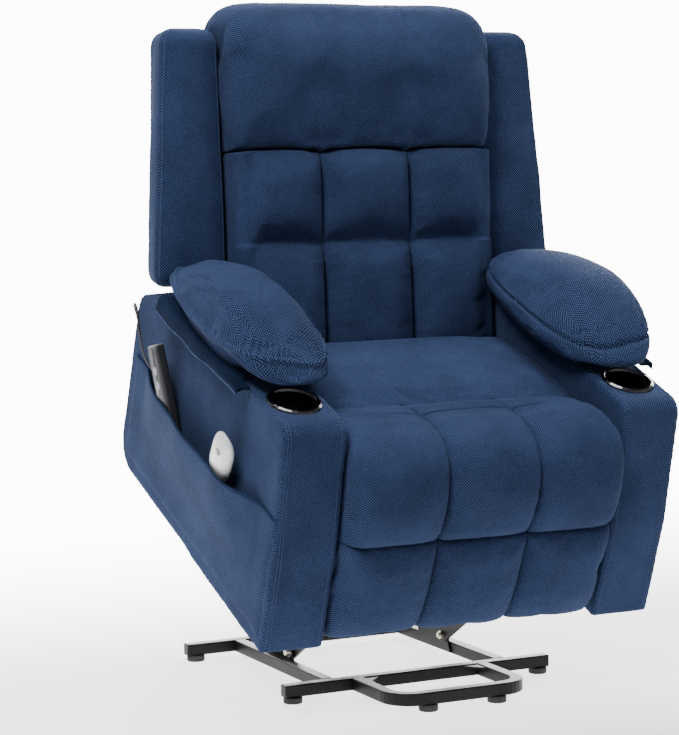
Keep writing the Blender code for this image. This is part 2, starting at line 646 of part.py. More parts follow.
def build_actuator():
    """The lift motor with its outer tube, and the rod that it drives, both along local +Z."""
    eye = plate_mesh(bar_outline((0.0, 0.0), (0.0, 0.045), EYE_RADIUS), -EYE_HALF_WIDTH, EYE_HALF_WIDTH,
                     holes=[((0.0, 0.0), PIVOT_RADIUS + PIN_CLEARANCE)])
    motor = finish("lift_motor", eye, BLACK_PLASTIC, MOTOR)
    gearbox = box_mesh((-0.026, -0.027, 0.022), (0.030, 0.027, 0.086))
    boolean(motor, gearbox, "UNION", "gearbox")
    boolean(motor, rod_mesh(MOTOR_RADIUS, 0.020, 0.020 + MOTOR_LENGTH, place=(0.0, 0.054), sides=24),
            "UNION", "motor_can")
    boolean(motor, rod_mesh(ACTUATOR_RADIUS, 0.080, ACTUATOR_TUBE_END, axis="Z", sides=24),
            "UNION", "outer_tube")
    bore_start = ACTUATOR_TUBE_END - 0.185
    bore = rod_mesh(ROD_RADIUS + GAP, bore_start, ACTUATOR_TUBE_END + 0.01, axis="Z", sides=24)
    boolean(motor, bore, "DIFFERENCE", "rod_bore")

    rod_start = ACTUATOR_TUBE_END - 0.040
    rod = finish("actuator_rod", rod_mesh(ROD_RADIUS, rod_start, ACTUATOR_LENGTH, axis="Z", sides=24),
                 CHROME, MOTOR)
    tip = plate_mesh(arc((0.0, ACTUATOR_LENGTH), EYE_RADIUS, 0.0, 2 * math.pi, 20)[:-1],
                     -EYE_HALF_WIDTH, EYE_HALF_WIDTH)
    boolean(rod, tip, "UNION", "rod_eye")

    clevis = None
    for side in (-1, 1):
        lug_outline = [(MOTOR_PIVOT[0] - 0.012, MOTOR_PIVOT[1]), (BASE_LENGTH - GAP, FOOT_HEIGHT + 0.002),
                       (BASE_LENGTH - GAP, RAIL_TOP + GAP), (BASE_LENGTH + 0.016, RAIL_TOP + GAP)]
        lug_outline += arc(MOTOR_PIVOT, 0.013, math.radians(20.0), math.radians(180.0), 8)
        span = side_span(side, EYE_HALF_WIDTH + GAP, EYE_HALF_WIDTH + GAP + PLATE)
        lug = plate_mesh(lug_outline, *span)
        if clevis is None:
            clevis = finish("motor_clevis", lug, STEEL, BASE)
        else:
            boolean(clevis, lug, "UNION", "clevis_lug")
    pin_half = EYE_HALF_WIDTH + GAP + PLATE + 0.003
    boolean(clevis, rod_mesh(PIVOT_RADIUS, -pin_half, pin_half, place=MOTOR_PIVOT), "UNION", "motor_pin")


# ================================================================ seat structure
def mechanism_plate(side, name):
    """The side plate of the recline mechanism, with bearings for the footrest and the back."""
    fx, fz = FOOTREST_PIVOT
    rx, rz = RECLINE_PIVOT
    outline = [(fx - 0.018, fz - 0.020), (FRONT_CROSS[0] - 0.018, FRONT_CROSS[1] - 0.020),
               (rx + 0.060, FRONT_CROSS[1] - 0.020), (rx + 0.060, rz - 0.060)]
    outline += arc(RECLINE_PIVOT, 0.022, math.radians(-10.0), math.radians(150.0), 8)
    outline += [(rx - 0.080, rz - 0.012), (fx + 0.060, fz + 0.012)]
    outline += arc(FOOTREST_PIVOT, 0.014, math.radians(70.0), math.radians(180.0), 5)
    holes = [(FOOTREST_PIVOT, FOOT_PIN_RADIUS + PIN_CLEARANCE),
             (RECLINE_PIVOT, BACK_PIN_RADIUS + PIN_CLEARANCE)]
    mesh = plate_mesh(outline, *side_span(side, SIDE_PLATE_X, SIDE_PLATE_X + SIDE_PLATE), holes)
    finish(f"mechanism_plate_{name}", mesh, STEEL, CHAIR)


def build_structure():
    for side, name in ((-1, "left"), (1, "right")):
        mechanism_plate(side, name)
    end = SIDE_PLATE_X - GAP
    front = finish("seat_cross_tube_front", rod_mesh(CROSS_TUBE_RADIUS, -end, end, place=FRONT_CROSS),
                   STEEL, CHAIR)
    for side in (-1, 1):
        near, far = side_span(side, LUG_X, LUG_X + PLATE)
        outline = arc(CHAIR_PIVOT, 0.014, math.radians(130.0), math.radians(265.0), 6)
        outline += arc(CHAIR_GUIDE, 0.013, math.radians(265.0), math.radians(400.0), 6)
        outline += arc(FRONT_CROSS, 0.014, math.radians(20.0), math.radians(150.0), 6)
        boolean(front, plate_mesh(outline, near, far), "UNION", f"lift_lug_{side}")
        pin = rod_mesh(PIVOT_RADIUS, *side_span(side, LINK_X - LINK_PLATE - 0.003, LUG_X + 0.002),
                       place=CHAIR_PIVOT)
        boolean(front, pin, "UNION", f"chair_pin_{side}")

    middle = finish("seat_cross_tube_middle", rod_mesh(CROSS_TUBE_RADIUS, -end, end, place=MIDDLE_CROSS),
                    STEEL, CHAIR)
    for side in (-1, 1):
        span = side_span(side, EYE_HALF_WIDTH + 0.0015, EYE_HALF_WIDTH + 0.0015 + PLATE)
        outline = bar_outline(CHAIR_MOTOR_PIVOT, MIDDLE_CROSS, 0.013)
        boolean(middle, plate_mesh(outline, *span), "UNION", f"actuator_lug_{side}")

    rise = SEAT_REAR_HEIGHT - SEAT_FRONT_HEIGHT
    run = SEAT_REAR - SEAT_FRONT
    slope = rise / run
    front_bottom = SEAT_FRONT_HEIGHT - SEAT_THICKNESS
    start, stop = SEAT_FRONT + 0.020, SEAT_REAR - 0.012
    lines = [(start, front_bottom + slope * (start - SEAT_FRONT) - GAP),
             (stop, front_bottom + slope * (stop - SEAT_FRONT) - GAP)]
    outline = lines + [(y, z - PLATFORM_THICKNESS) for y, z in reversed(lines)]
    reach = ARM_INNER - GAP
    bevel(finish("seat_platform", plate_mesh(outline, -reach, reach), PLYWOOD, CHAIR), BOARD_EDGE, 1)
    build_control_box(slope)


def build_control_box(slope):
    """The power supply and control box, screwed under the seat platform beside the left arm."""
    wide, deep, high = CONTROL_BOX
    middle_y = CONTROL_BOX_PLACE[1]
    under = SEAT_FRONT_HEIGHT - SEAT_THICKNESS + slope * (middle_y - SEAT_FRONT) - PLATFORM_THICKNESS
    box = box_mesh((-wide / 2, -deep / 2, -high), (wide / 2, deep / 2, 0.0))
    lid_line = box_mesh((-wide / 2 - 0.001, -deep / 2 - 0.001, -high / 2 - 0.001),
                        (wide / 2 + 0.001, deep / 2 + 0.001, -high / 2 + 0.001))
    inner = box_mesh((-wide / 2 + 0.001, -deep / 2 + 0.001, -high / 2 - 0.002),
                     (wide / 2 - 0.001, deep / 2 - 0.001, -high / 2 + 0.002))
    housing = finish("control_box", box, BLACK_PLASTIC, CHAIR,
                     (CONTROL_BOX_PLACE[0], middle_y, under - 2 * GAP))
    housing.rotation_euler = (math.atan(slope), 0.0, 0.0)
    bevel(housing, 0.003, 1)
    boolean(housing, lid_line, "DIFFERENCE", "lid_line")
    boolean(housing, inner, "UNION", "lid_core")


# ================================================================ arms
def arm_outline():
    """The arm's side view: raked front, flat top, sloping rear shoulder, rounded heel."""
    quarter = math.pi / 2
    front_top = arc((0.065, ARM_HEIGHT - ARM_FRONT_ROUND), ARM_FRONT_ROUND, 2 * quarter, quarter, 4)
    rounded = arc((ARM_DEPTH - ARM_REAR_ROUND, ARM_REAR_HEIGHT - ARM_REAR_ROUND), ARM_REAR_ROUND,
                  math.radians(58.0), 0.0, 3)
    heel = arc((ARM_DEPTH - ARM_HEEL, ARM_HEEL), ARM_HEEL, 0.0, -quarter, 6)
    return ([(-0.006, 0.0), (0.0, 0.200)] + front_top + [(ARM_SLOPE_START, ARM_HEIGHT)]
            + rounded + heel)


def arm(side, name):
    """One upholstered arm, with the well for its cup holder."""
    mesh = plate_mesh(list(reversed(arm_outline())), *side_span(side, ARM_INNER, ARM_OUTER))
    for vertex in mesh.vertices:
        outside = (abs(vertex.co.x) - ARM_INNER) / (ARM_OUTER - ARM_INNER)
        vertex.co.x -= side * outside * ARM_TAPER * max(vertex.co.y, 0.0) / ARM_DEPTH
    piece = bevel(finish(f"arm_{name}", mesh, FABRIC, CHAIR), ARM_EDGE, 2)
    facets = 24
    well_radius = (CUP_BOWL_RADIUS + GAP) / math.cos(math.pi / facets)
    well = rod_mesh(well_radius, ARM_HEIGHT - CUP_DEPTH - GAP, ARM_HEIGHT + 0.02, axis="Z",
                    sides=facets, place=(side * CUP_X, CUP_BACK))
    boolean(piece, well, "DIFFERENCE", f"cup_well_{name}")


def cup_holder(side, name):
    rim = CUP_RIM_HEIGHT
    inner = CUP_BOWL_RADIUS - CUP_WALL
    profile = [(0.0, CUP_WALL - CUP_DEPTH), (inner - 0.006, CUP_WALL - CUP_DEPTH),
               (inner - 0.001, CUP_WALL - CUP_DEPTH + 0.006), (inner, 0.0), (inner + 0.0015, rim - 0.001),
               (CUP_BOWL_RADIUS + 0.001, rim), (CUP_RIM_RADIUS - 0.001, rim - 0.002),
               (CUP_RIM_RADIUS, GAP), (CUP_BOWL_RADIUS, GAP), (CUP_BOWL_RADIUS, -CUP_DEPTH + 0.005),
               (CUP_BOWL_RADIUS - 0.005, -CUP_DEPTH), (0.0, -CUP_DEPTH)]
    turned_piece(f"cup_holder_{name}", profile, SMOKED, CHAIR, (side * CUP_X, CUP_BACK, ARM_HEIGHT))


def arm_pad(side, name):
    """The stuffed pad on the arm: full at the front, lower towards the back."""
    bottom = PAD_TOP - PAD_HEIGHT
    low_x, high_x = side_span(side, PAD_INNER, PAD_OUTER)

    def sculpt(place, unit):
        share = (place.z - bottom) / PAD_HEIGHT
        fall = PAD_REAR_DROP * max((place.y - PAD_CREST) / PAD_REAR_RUN, 0.0) ** 2
        lean = PAD_LEAN * (place.z - bottom) * ramp(place.y, PAD_LEAN_START, PAD_REAR)
        undercut = (PAD_BASE_FRONT - PAD_FRONT) * (1.0 - ramp(share, 0.0, 0.4)) * (0.5 - 0.5 * unit.y)
        pinch = PAD_PINCH * (1.0 - ramp(share, 0.0, 0.5)) * unit.x
        return Vector((place.x - pinch, place.y + lean + undercut, bottom + share * (PAD_HEIGHT - fall)))

    soft_block(f"arm_pad_{name}", (low_x, PAD_FRONT, bottom), (high_x, PAD_REAR, PAD_TOP), PAD_ROUNDNESS,
               (7, 10, 6), FABRIC, CHAIR, sculpt, flat=(2, -1))


def arm_flange(side, name):
    """The sewn panel under the pad, whose lip hangs over the arm's outer side."""
    low = ARM_HEIGHT + GAP
    top = low + FLANGE
    outer = FLANGE_LIP_X
    inner = PAD_INNER + FLANGE_SETBACK
    outline = [(inner, low), (outer - 2 * FLANGE_EDGE, low), (outer - FLANGE, low - FLANGE_SHOULDER),
               (outer - FLANGE + FLANGE_SLANT, FLANGE_LIP_BOTTOM),
               (outer + FLANGE_SLANT, FLANGE_LIP_BOTTOM), (outer, low), (outer - FLANGE_EDGE, top),
               (inner, top)]
    length = (PAD_BASE_FRONT - 0.001, PAD_REAR - 0.004)
    mesh = plate_mesh([(side * x, z) for x, z in outline], *length)
    # the plate's (x, y, z) is the flange's (y, x, z)
    mesh.transform(Matrix(((0, 1, 0, 0), (1, 0, 0, 0), (0, 0, 1, 0), (0, 0, 0, 1))))
    form = bmesh.new()
    form.from_mesh(mesh)
    bmesh.ops.recalc_face_normals(form, faces=form.faces)
    form.to_mesh(mesh)
    form.free()
    finish(f"arm_flange_{name}", mesh, FABRIC, CHAIR)


def arm_side(back):
    """Half width over the arms at a distance from the front."""
    return ARM_OUTER - ARM_TAPER * max(back, 0.0) / ARM_DEPTH


def gape(back):
    """How far the pocket's mouth stands away from the arm."""
    share = abs(back - POCKET_BOW_MIDDLE) / POCKET_BOW_HALF
    return POCKET_BOW * max(1.0 - share ** 3, 0.0)


def pocket_panel():
    """The fabric panel of the side pocket, closed along its bottom and ends, open at its mouth."""
    columns, rows = 20, 5

    def build(form):
        grid = bmesh.ops.create_grid(form, x_segments=columns, y_segments=rows, size=1.0)
        for vertex in grid["verts"]:
            along, rise = (vertex.co.x + 1.0) / 2.0, (vertex.co.y + 1.0) / 2.0
            back = POCKET_FRONT + along * (POCKET_REAR - POCKET_FRONT)
            out = gape(back) * ramp(rise, 0.15, 1.0)
            up = POCKET_BOTTOM + rise * (POCKET_EDGE - POCKET_BOTTOM)
            vertex.co = (-(arm_side(back) + GAP + out), back, up)

    mesh = mesh_from(build)
    for polygon in mesh.polygons:
        if polygon.normal.x > 0:
            mesh.flip_normals()
        break
    panel = finish("pocket_panel", mesh, FABRIC, CHAIR)
    shell = panel.modifiers.new("thickness", "SOLIDIFY")
    shell.thickness = POCKET_THICKNESS
    shell.offset = 1.0
    shell.use_even_offset = True


def build_arms():
    for side, name in ((-1, "left"), (1, "right")):
        arm(side, name)
        cup_holder(side, name)
        arm_flange(side, name)
        arm_pad(side, name)
    pocket_panel()
    reach = ARM_INNER - GAP
    front, rear = ARM_DEPTH - VALANCE_SETBACK - VALANCE_THICKNESS, ARM_DEPTH - VALANCE_SETBACK
    valance = box_mesh((-reach, front, VALANCE_BOTTOM), (reach, rear, VALANCE_TOP))
    bevel(finish("rear_valance", valance, LINING, CHAIR), BOARD_EDGE, 1)


# ================================================================ cushions
def build_seat():
    slope = (SEAT_REAR_HEIGHT - SEAT_FRONT_HEIGHT) / (SEAT_REAR - SEAT_FRONT)

    def sculpt(place, unit):
        fall = slope * (place.y - SEAT_FRONT)
        draw = 0.006 * (1.0 - unit.z * unit.z) * (1.0 - unit.y * unit.y)
        return Vector((place.x * (1.0 - draw / CUSHION_HALF), place.y, place.z + fall))

    bottom = SEAT_FRONT_HEIGHT - SEAT_THICKNESS
    soft_block("seat_cushion", (-CUSHION_HALF, SEAT_FRONT, bottom),
               (CUSHION_HALF, SEAT_REAR, SEAT_FRONT_HEIGHT), 5.0, (10, 8, 4), FABRIC, CHAIR, sculpt,
               flat=(2, -1))


def footrest_cushion(name, bottom, top, bulge, lip):
    """One row of the footrest's channelled pad; lip is how far its top reaches back over the board."""
    face = FOOT_BOARD_REAR - FOOT_BOARD_THICKNESS - GAP
    origin = Vector((0.0, *BOARD_PIVOT))

    def sculpt(place, unit):
        share = (place.z - bottom) / (top - bottom)
        rear = face + (lip - face) * ramp(place.z, FOOT_BOARD_TOP - 0.030, FOOT_BOARD_TOP)
        front = -bulge * (0.45 + 0.55 * puff(unit.x, CHANNELS))
        depth = (place.y - low_y) / (high_y - low_y)
        roll = FOOTREST_ROLL * ramp(share, 0.80, 1.0) if lip > face else 0.0
        foot_draw = FOOTREST_TUCK * (1.0 - ramp(share, 0.0, 0.45))
        start = front + roll + foot_draw
        return Vector((place.x, start + depth * (rear - start), place.z)) - origin

    low_y, high_y = 0.0, 1.0
    pad = soft_block(name, (-CUSHION_HALF, low_y, bottom), (CUSHION_HALF, high_y, top), 6.0,
                     (18, 3, 8), FABRIC, FOOT_BOARD, sculpt, flat=(1, 1))
    if lip > face:
        low = Vector((-ARM_INNER, face, FOOT_BOARD_BOTTOM)) - origin
        high = Vector((ARM_INNER, lip + 0.01, FOOT_BOARD_TOP + GAP)) - origin
        boolean(pad, box_mesh(low, high), "DIFFERENCE", "footrest_board_recess")


def build_footrest():
    end = SIDE_PLATE_X - GAP
    lower_reach = [a - b for a, b in zip(LOWER_LINK_END, FOOTREST_PIVOT)]
    upper_reach = [a - b for a, b in zip(BOARD_PIVOT, LOWER_LINK_END)]
    hole = FOOT_PIN_RADIUS + PIN_CLEARANCE
    lower_x = end                                  # outer face of the lower link
    upper_x = lower_x - FOOT_LINK_PLATE - GAP      # outer face of the upper link
    board_x = upper_x - FOOT_LINK_PLATE - GAP      # outer face of the board's lug

    lower = None
    tube_place = [value * 0.45 for value in lower_reach]
    for side in (-1, 1):
        span = side_span(side, lower_x - FOOT_LINK_PLATE, lower_x)
        bar = plate_mesh(bar_outline((0.0, 0.0), lower_reach, FOOT_LINK_HALF_WIDTH, 6), *span)
        if lower is None:
            lower = finish("footrest_lower_links", bar, STEEL, FOOT_LOWER)
        else:
            boolean(lower, bar, "UNION", "lower_link_right")
        outer_pin = rod_mesh(FOOT_PIN_RADIUS, *side_span(side, lower_x - 0.002, lower_x + 0.003), sides=12)
        boolean(lower, outer_pin, "UNION", f"plate_pin_{side}")
        inner_pin = rod_mesh(FOOT_PIN_RADIUS, *side_span(side, upper_x - FOOT_LINK_PLATE - 0.001,
                                                         lower_x - 0.002),
                             sides=12, place=lower_reach)
        boolean(lower, inner_pin, "UNION", f"elbow_pin_{side}")
    spread = lower_x - FOOT_LINK_PLATE + 0.001
    boolean(lower, rod_mesh(LINK_TUBE_RADIUS, -spread, spread, place=tube_place), "UNION", "link_tube")

    for side, name in ((-1, "left"), (1, "right")):
        bar = plate_mesh(bar_outline((0.0, 0.0), upper_reach, FOOT_LINK_HALF_WIDTH, 6),
                         *side_span(side, upper_x - FOOT_LINK_PLATE, upper_x),
                         holes=[((0.0, 0.0), hole), (upper_reach, hole)])
        finish(f"footrest_upper_link_{name}", bar, STEEL, FOOT_UPPER)

    front = FOOT_BOARD_REAR - FOOT_BOARD_THICKNESS
    low = (-CUSHION_HALF + 0.008, front - BOARD_PIVOT[0], FOOT_BOARD_BOTTOM - BOARD_PIVOT[1])
    high = (CUSHION_HALF - 0.008, FOOT_BOARD_REAR - BOARD_PIVOT[0], FOOT_BOARD_TOP - BOARD_PIVOT[1])
    board = bevel(finish("footrest_board", box_mesh(low, high), PLYWOOD, FOOT_BOARD), BOARD_EDGE, 1)
    for side in (-1, 1):
        back_face = FOOT_BOARD_REAR - BOARD_PIVOT[0]
        outline = [(back_face - 0.003, -0.026), (back_face + 0.002, -0.026)]
        outline += arc((0.0, 0.0), 0.009, math.radians(-70.0), math.radians(70.0), 6)
        outline += [(back_face + 0.002, 0.026), (back_face - 0.003, 0.026)]
        lug = plate_mesh(outline, *side_span(side, board_x - FOOT_LINK_PLATE, board_x))
        boolean(board, lug, "UNION", f"board_lug_{side}")
        pin = rod_mesh(FOOT_PIN_RADIUS, *side_span(side, board_x - 0.002, upper_x + 0.001), sides=12)
        boolean(board, pin, "UNION", f"board_pin_{side}")

    upper_bottom = FOOTREST_SEAM + GAP / 2
    footrest_cushion("footrest_cushion_upper", upper_bottom, FOOTREST_TOP, FOOTREST_BULGE, FOOTREST_LIP)
    footrest_cushion("footrest_cushion_lower", FOOTREST_BOTTOM, FOOTREST_SEAM - GAP / 2,
                     FOOTREST_LOWER_BULGE, FOOT_BOARD_REAR - FOOT_BOARD_THICKNESS - GAP)


# ================================================================ backrest
def build_back():
    half_board = BOARD_THICKNESS / 2
    ear_x = SIDE_PLATE_X - GAP
    board_half_width = ear_x - 0.004
    board_low = (-board_half_width, -half_board, 0.030)
    board_high = (board_half_width, half_board, BOARD_HEIGHT)
    board = bevel(finish("back_board", box_mesh(board_low, board_high), PLYWOOD, BACK), BOARD_EDGE, 1)
    for side in (-1, 1):
        inside = half_board - 0.001
        outline = arc((0.0, 0.0), 0.014, math.radians(160.0), math.radians(380.0), 8)
        outline += [(inside, 0.019), (inside, 0.110), (-inside, 0.110), (-inside, 0.019)]
        ear = plate_mesh(outline, *side_span(side, ear_x - 0.008, ear_x))
        boolean(board, ear, "UNION", f"back_ear_{side}")
        pin = rod_mesh(BACK_PIN_RADIUS, *side_span(side, ear_x - 0.002, SIDE_PLATE_X + SIDE_PLATE))
        boolean(board, pin, "UNION", f"back_pin_{side}")
        low_x, high_x = side_span(side, BACK_HALF - 0.020, WING_INNER - GAP)
        shoulder = box_mesh((low_x, -inside, WING_BOTTOM + 0.040), (high_x, inside, BOARD_HEIGHT - 0.030))
        boolean(board, shoulder, "UNION", f"wing_rail_{side}")

    board_front = -half_board - GAP

    def quilted(crown, seam_depth, rows, bottom, top):
        def sculpt(place, unit):
            depth = (place.y + 1.0) / 2.0
            share = (place.z - bottom) / (top - bottom)
            swell = puff(unit.x, TUFT_COLUMNS) * puff(2.0 * share - 1.0, rows) if rows > 1 else 1.0
            tuck = 0.022 * (1.0 - ramp(share, 0.0, 0.16))
            front = -seam_depth - crown * swell + tuck
            return Vector((place.x, front + depth * (board_front - front), place.z))
        return sculpt

    soft_block("back_cushion", (-BACK_HALF, -1.0, LUMBAR_BOTTOM), (BACK_HALF, 1.0, HEAD_SEAM - GAP / 2),
               8.0, (18, 3, 12), FABRIC, BACK,
               quilted(LUMBAR_CROWN, LUMBAR_DEPTH, 2, LUMBAR_BOTTOM, HEAD_SEAM), flat=(1, 1))

    def head(place, unit):
        depth = (place.y + 1.0) / 2.0
        share = (place.z - HEAD_SEAM) / (BACK_TOP - HEAD_SEAM)
        crown = HEAD_CROWN * (1.0 - unit.x ** 4) * math.sin(math.pi * min(share * 0.92 + 0.04, 1.0)) ** 0.6
        front = -0.100 - crown + HEAD_ROLL * ramp(share, 0.80, 1.0)
        rear = board_front + (BACK_REAR - board_front) * ramp(place.z, BOARD_HEIGHT - 0.040, BOARD_HEIGHT)
        droop = HEAD_DROOP * ramp(share, 0.5, 1.0) * abs(unit.x) ** 3
        return Vector((place.x, front + depth * (rear - front), place.z - droop))

    head_pad = soft_block("head_cushion", (-BACK_HALF, -1.0, HEAD_SEAM + GAP / 2),
                          (BACK_HALF, 1.0, BACK_TOP), 7.0, (12, 4, 8), FABRIC, BACK, head, flat=(1, 1))
    recess = box_mesh((-ARM_INNER, board_front, HEAD_SEAM - 0.010),
                      (ARM_INNER, BACK_REAR + 0.020, BOARD_HEIGHT + GAP))
    boolean(head_pad, recess, "DIFFERENCE", "back_board_recess")

    cover_low = (-BACK_HALF, half_board + GAP, 0.010)
    cover_high = (BACK_HALF, BACK_REAR, BOARD_HEIGHT)
    soft_block("back_cover", cover_low, cover_high, 12.0, (6, 2, 6), FABRIC, BACK,
               flat=(1, -1))

    for side, name in ((-1, "left"), (1, "right")):
        wing(side, name)


def wing(side, name):
    """The side bolster of the backrest, wider at its front and foot than at its rear and top."""
    low_x, high_x = side_span(side, WING_INNER, WING_OUTER_BOTTOM)

    def sculpt(place, unit):
        outward = (abs(place.x) - WING_INNER) / (WING_OUTER_BOTTOM - WING_INNER)
        rise = (place.z - WING_BOTTOM) / (WING_TOP - WING_BOTTOM)
        rear = (place.y + WING_FRONT) / (WING_FRONT + WING_REAR)
        narrowing = (WING_OUTER_BOTTOM - WING_OUTER_TOP) * rise + WING_REAR_TAPER * rear
        return Vector((place.x - side * outward * narrowing, place.y, place.z))

    soft_block(f"wing_{name}", (low_x, -WING_FRONT, WING_BOTTOM), (high_x, WING_REAR, WING_TOP), 5.5,
               (5, 5, 9), FABRIC, BACK, sculpt, flat=(0, -side))


# ================================================================ handset, remote and cord
def leaning(place, up_axis):
    """Local +Z is the piece's length and local -X faces out of the pocket."""
    up = Vector(up_axis).normalized()
    out = Vector((-1.0, 0.0, 0.0))
    out = (out - out.dot(up) * up).normalized()
    across = up.cross(-out)
    return Matrix.Translation(place) @ Matrix((-out, across, up)).transposed().to_4x4()


def push_button(name, housing, face, radius, height, place):
    """A sprung button in a round well of its housing; face is the x of the housing's face."""
    well_depth = 0.004
    well = rod_mesh(radius + GAP, face - BUTTON_STAND, face + well_depth, place=(0.0, height))
    boolean(housing, well, "DIFFERENCE", f"{name}_well")
    cap = rod_mesh(radius, face - BUTTON_STAND, face + well_depth - BUTTON_TRAVEL - GAP,
                   place=(0.0, height))
    bevel(finish(name, cap, GREY_PLASTIC, CHAIR, matrix=place), 0.0008, 1)


def build_handset():
    thick, wide, long = HANDSET_SIZE
    place = leaning(HANDSET_TOP, HANDSET_UP)
    body = box_mesh((-thick / 2, -wide / 2, -long), (thick / 2, wide / 2, 0.0))
    handset = bevel(finish("handset", body, BLACK_PLASTIC, CHAIR, matrix=place), 0.005, 2)
    for index, name in enumerate(("handset_button_up", "handset_button_down")):
        height = -HANDSET_FIRST_BUTTON - index * BUTTON_SPACING
        push_button(name, handset, -thick / 2, BUTTON_RADIUS, height, place)


def build_remote():
    thick, wide, long = REMOTE_SIZE
    place = leaning(REMOTE_MIDDLE, REMOTE_UP)
    outline = []
    for step in range(20):
        turn = math.pi * step / 10
        y, z = math.cos(turn), math.sin(turn)
        reach = (abs(y) ** 2.6 + abs(z) ** 2.6) ** (-1 / 2.6)
        outline.append((wide / 2 * y * reach, long / 2 * z * reach))
    body = plate_mesh(outline, -thick / 2, thick / 2)
    remote = bevel(finish("massage_remote", body, WHITE_PLASTIC, CHAIR, matrix=place), 0.006, 2, 40.0)
    push_button("remote_button", remote, -thick / 2, REMOTE_BUTTON_RADIUS, REMOTE_BUTTON_PLACE, place)


def cord_route():
    """The lead's centre line in the chair's frame: out of the gland, up behind the arm, round its
    rear corner, down its side into the pocket, and round to the foot of the handset."""
    rear = ARM_DEPTH
    gland_x, gland_up = GLAND_PLACE
    end = rear + GAP + GLAND_LENGTH + GAP
    down = -Vector(HANDSET_UP).normalized()
    foot = Vector(HANDSET_TOP) + HANDSET_SIZE[2] * down
    return [
        (gland_x, end, gland_up), (gland_x, end + 0.005, gland_up),
        (gland_x, end + 0.009, gland_up + 0.001), (gland_x - 0.002, rear + 0.0255, gland_up + 0.007),
        (gland_x - 0.005, rear + 0.0265, gland_up + 0.019),
        (-0.383, rear + 0.025, 0.275), (-0.390, rear + 0.0215, 0.295), (-0.398, rear + 0.0165, 0.315),
        (-0.4065, rear + 0.0105, 0.332), (-0.4125, rear + 0.002, 0.344), (-0.4145, 0.759, 0.349),
        (-0.4135, 0.750, 0.343), (-0.4120, 0.742, 0.326), (-0.4115, 0.731, 0.307),
        (-0.4115, 0.715, 0.289), (-0.4120, 0.695, 0.274), (-0.4125, 0.670, 0.265),
        (-0.4130, 0.642, 0.263), (-0.4130, 0.614, 0.264), (-0.4130, 0.588, 0.261),
        (-0.4125, 0.565, 0.252), (-0.4125, 0.548, 0.236), (-0.4125, 0.533, 0.214),
        (-0.4125, 0.518, 0.192), (-0.4127, 0.507, 0.170), (-0.4130, 0.4995, 0.1485),
        (-0.4134, 0.479, 0.134), (-0.4138, 0.459, 0.143), (-0.4142, 0.456, 0.157),
        foot + 0.040 * down, foot + 0.020 * down, foot + GAP * down,
    ]


def smooth_route(points, count):
    """Points on a Catmull-Rom curve through the route's points, evenly spaced in its parameter."""
    ends = [2 * Vector(points[0]) - Vector(points[1])]
    knots = ends + [Vector(p) for p in points] + [2 * Vector(points[-1]) - Vector(points[-2])]
    result = []
    spans = len(points) - 1
    for step in range(count + 1):
        place = step * spans / count
        index = min(int(place), spans - 1)
        t = place - index
        a, b, c, d = knots[index:index + 4]
        result.append(0.5 * ((2 * b) + (c - a) * t + (2 * a - 5 * b + 4 * c - d) * t ** 2
                             + (3 * b - a - 3 * c + d) * t ** 3))
    return result


def build_cord():
    gland_x, gland_up = GLAND_PLACE
    profile = [(0.0, GLAND_LENGTH), (0.0042, GLAND_LENGTH), (0.0055, 0.004), (GLAND_RADIUS, 0.003),
               (GLAND_RADIUS, 0.0), (0.0, 0.0)]
    gland = turned_piece("cord_gland", profile, RUBBER, CHAIR, (gland_x, ARM_DEPTH + GAP, gland_up), 20)
    gland.rotation_euler = (-math.pi / 2, 0.0, 0.0)
    finish("handset_cord", tube_mesh(smooth_route(cord_route(), 48), CORD_DIAMETER / 2, 2), RUBBER, CHAIR)


build_base()
build_lift()
build_actuator()
build_structure()
build_arms()
build_seat()
build_footrest()
build_back()
build_handset()
build_remote()
build_cord()
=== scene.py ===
"""Looks of the power lift recliner chair: upholstery, finishes, camera, light and floor.

Lengths are metres. Soft pieces are shaped in the chair's own frame (x, back, up), or in the
backrest's (x, rear, up along the back), and then carried into the world by a matrix.
"""
from math import atan2, cos, exp, hypot, pi, radians, sin, sqrt

import bmesh
import bpy
from mathutils import Matrix, Vector, noise
from mathutils.bvhtree import BVHTree


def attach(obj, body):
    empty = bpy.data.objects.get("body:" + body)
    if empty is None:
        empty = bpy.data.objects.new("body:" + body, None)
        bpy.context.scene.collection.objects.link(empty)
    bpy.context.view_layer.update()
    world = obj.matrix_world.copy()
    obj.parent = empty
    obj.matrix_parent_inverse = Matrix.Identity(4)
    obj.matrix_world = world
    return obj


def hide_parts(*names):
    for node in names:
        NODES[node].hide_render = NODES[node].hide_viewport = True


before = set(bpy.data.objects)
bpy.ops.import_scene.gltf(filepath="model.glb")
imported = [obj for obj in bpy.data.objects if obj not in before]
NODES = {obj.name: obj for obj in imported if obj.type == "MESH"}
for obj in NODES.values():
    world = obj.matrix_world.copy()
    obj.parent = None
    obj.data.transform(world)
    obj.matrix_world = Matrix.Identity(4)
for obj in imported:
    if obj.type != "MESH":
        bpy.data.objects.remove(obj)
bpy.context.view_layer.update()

# ---------------- frames, as in the part
ORIGIN_X = 0.0023
ORIGIN_TO_FRONT_TUBE = -0.0975
LIFT_TILT = radians(21.5)
LIFTED_FRONT = (-0.1553, 0.1403)
RECLINE_PIVOT = (0.61, 0.24)
BACK_LEAN = radians(23.0)
CHAIR = (Matrix.Translation((ORIGIN_X, ORIGIN_TO_FRONT_TUBE + LIFTED_FRONT[0], LIFTED_FRONT[1]))
         @ Matrix.Rotation(LIFT_TILT, 4, "X"))
BACK = CHAIR @ Matrix.Translation((0.0, *RECLINE_PIVOT)) @ Matrix.Rotation(-BACK_LEAN, 4, "X")
BASE = Matrix.Translation((ORIGIN_X, ORIGIN_TO_FRONT_TUBE, 0.0))

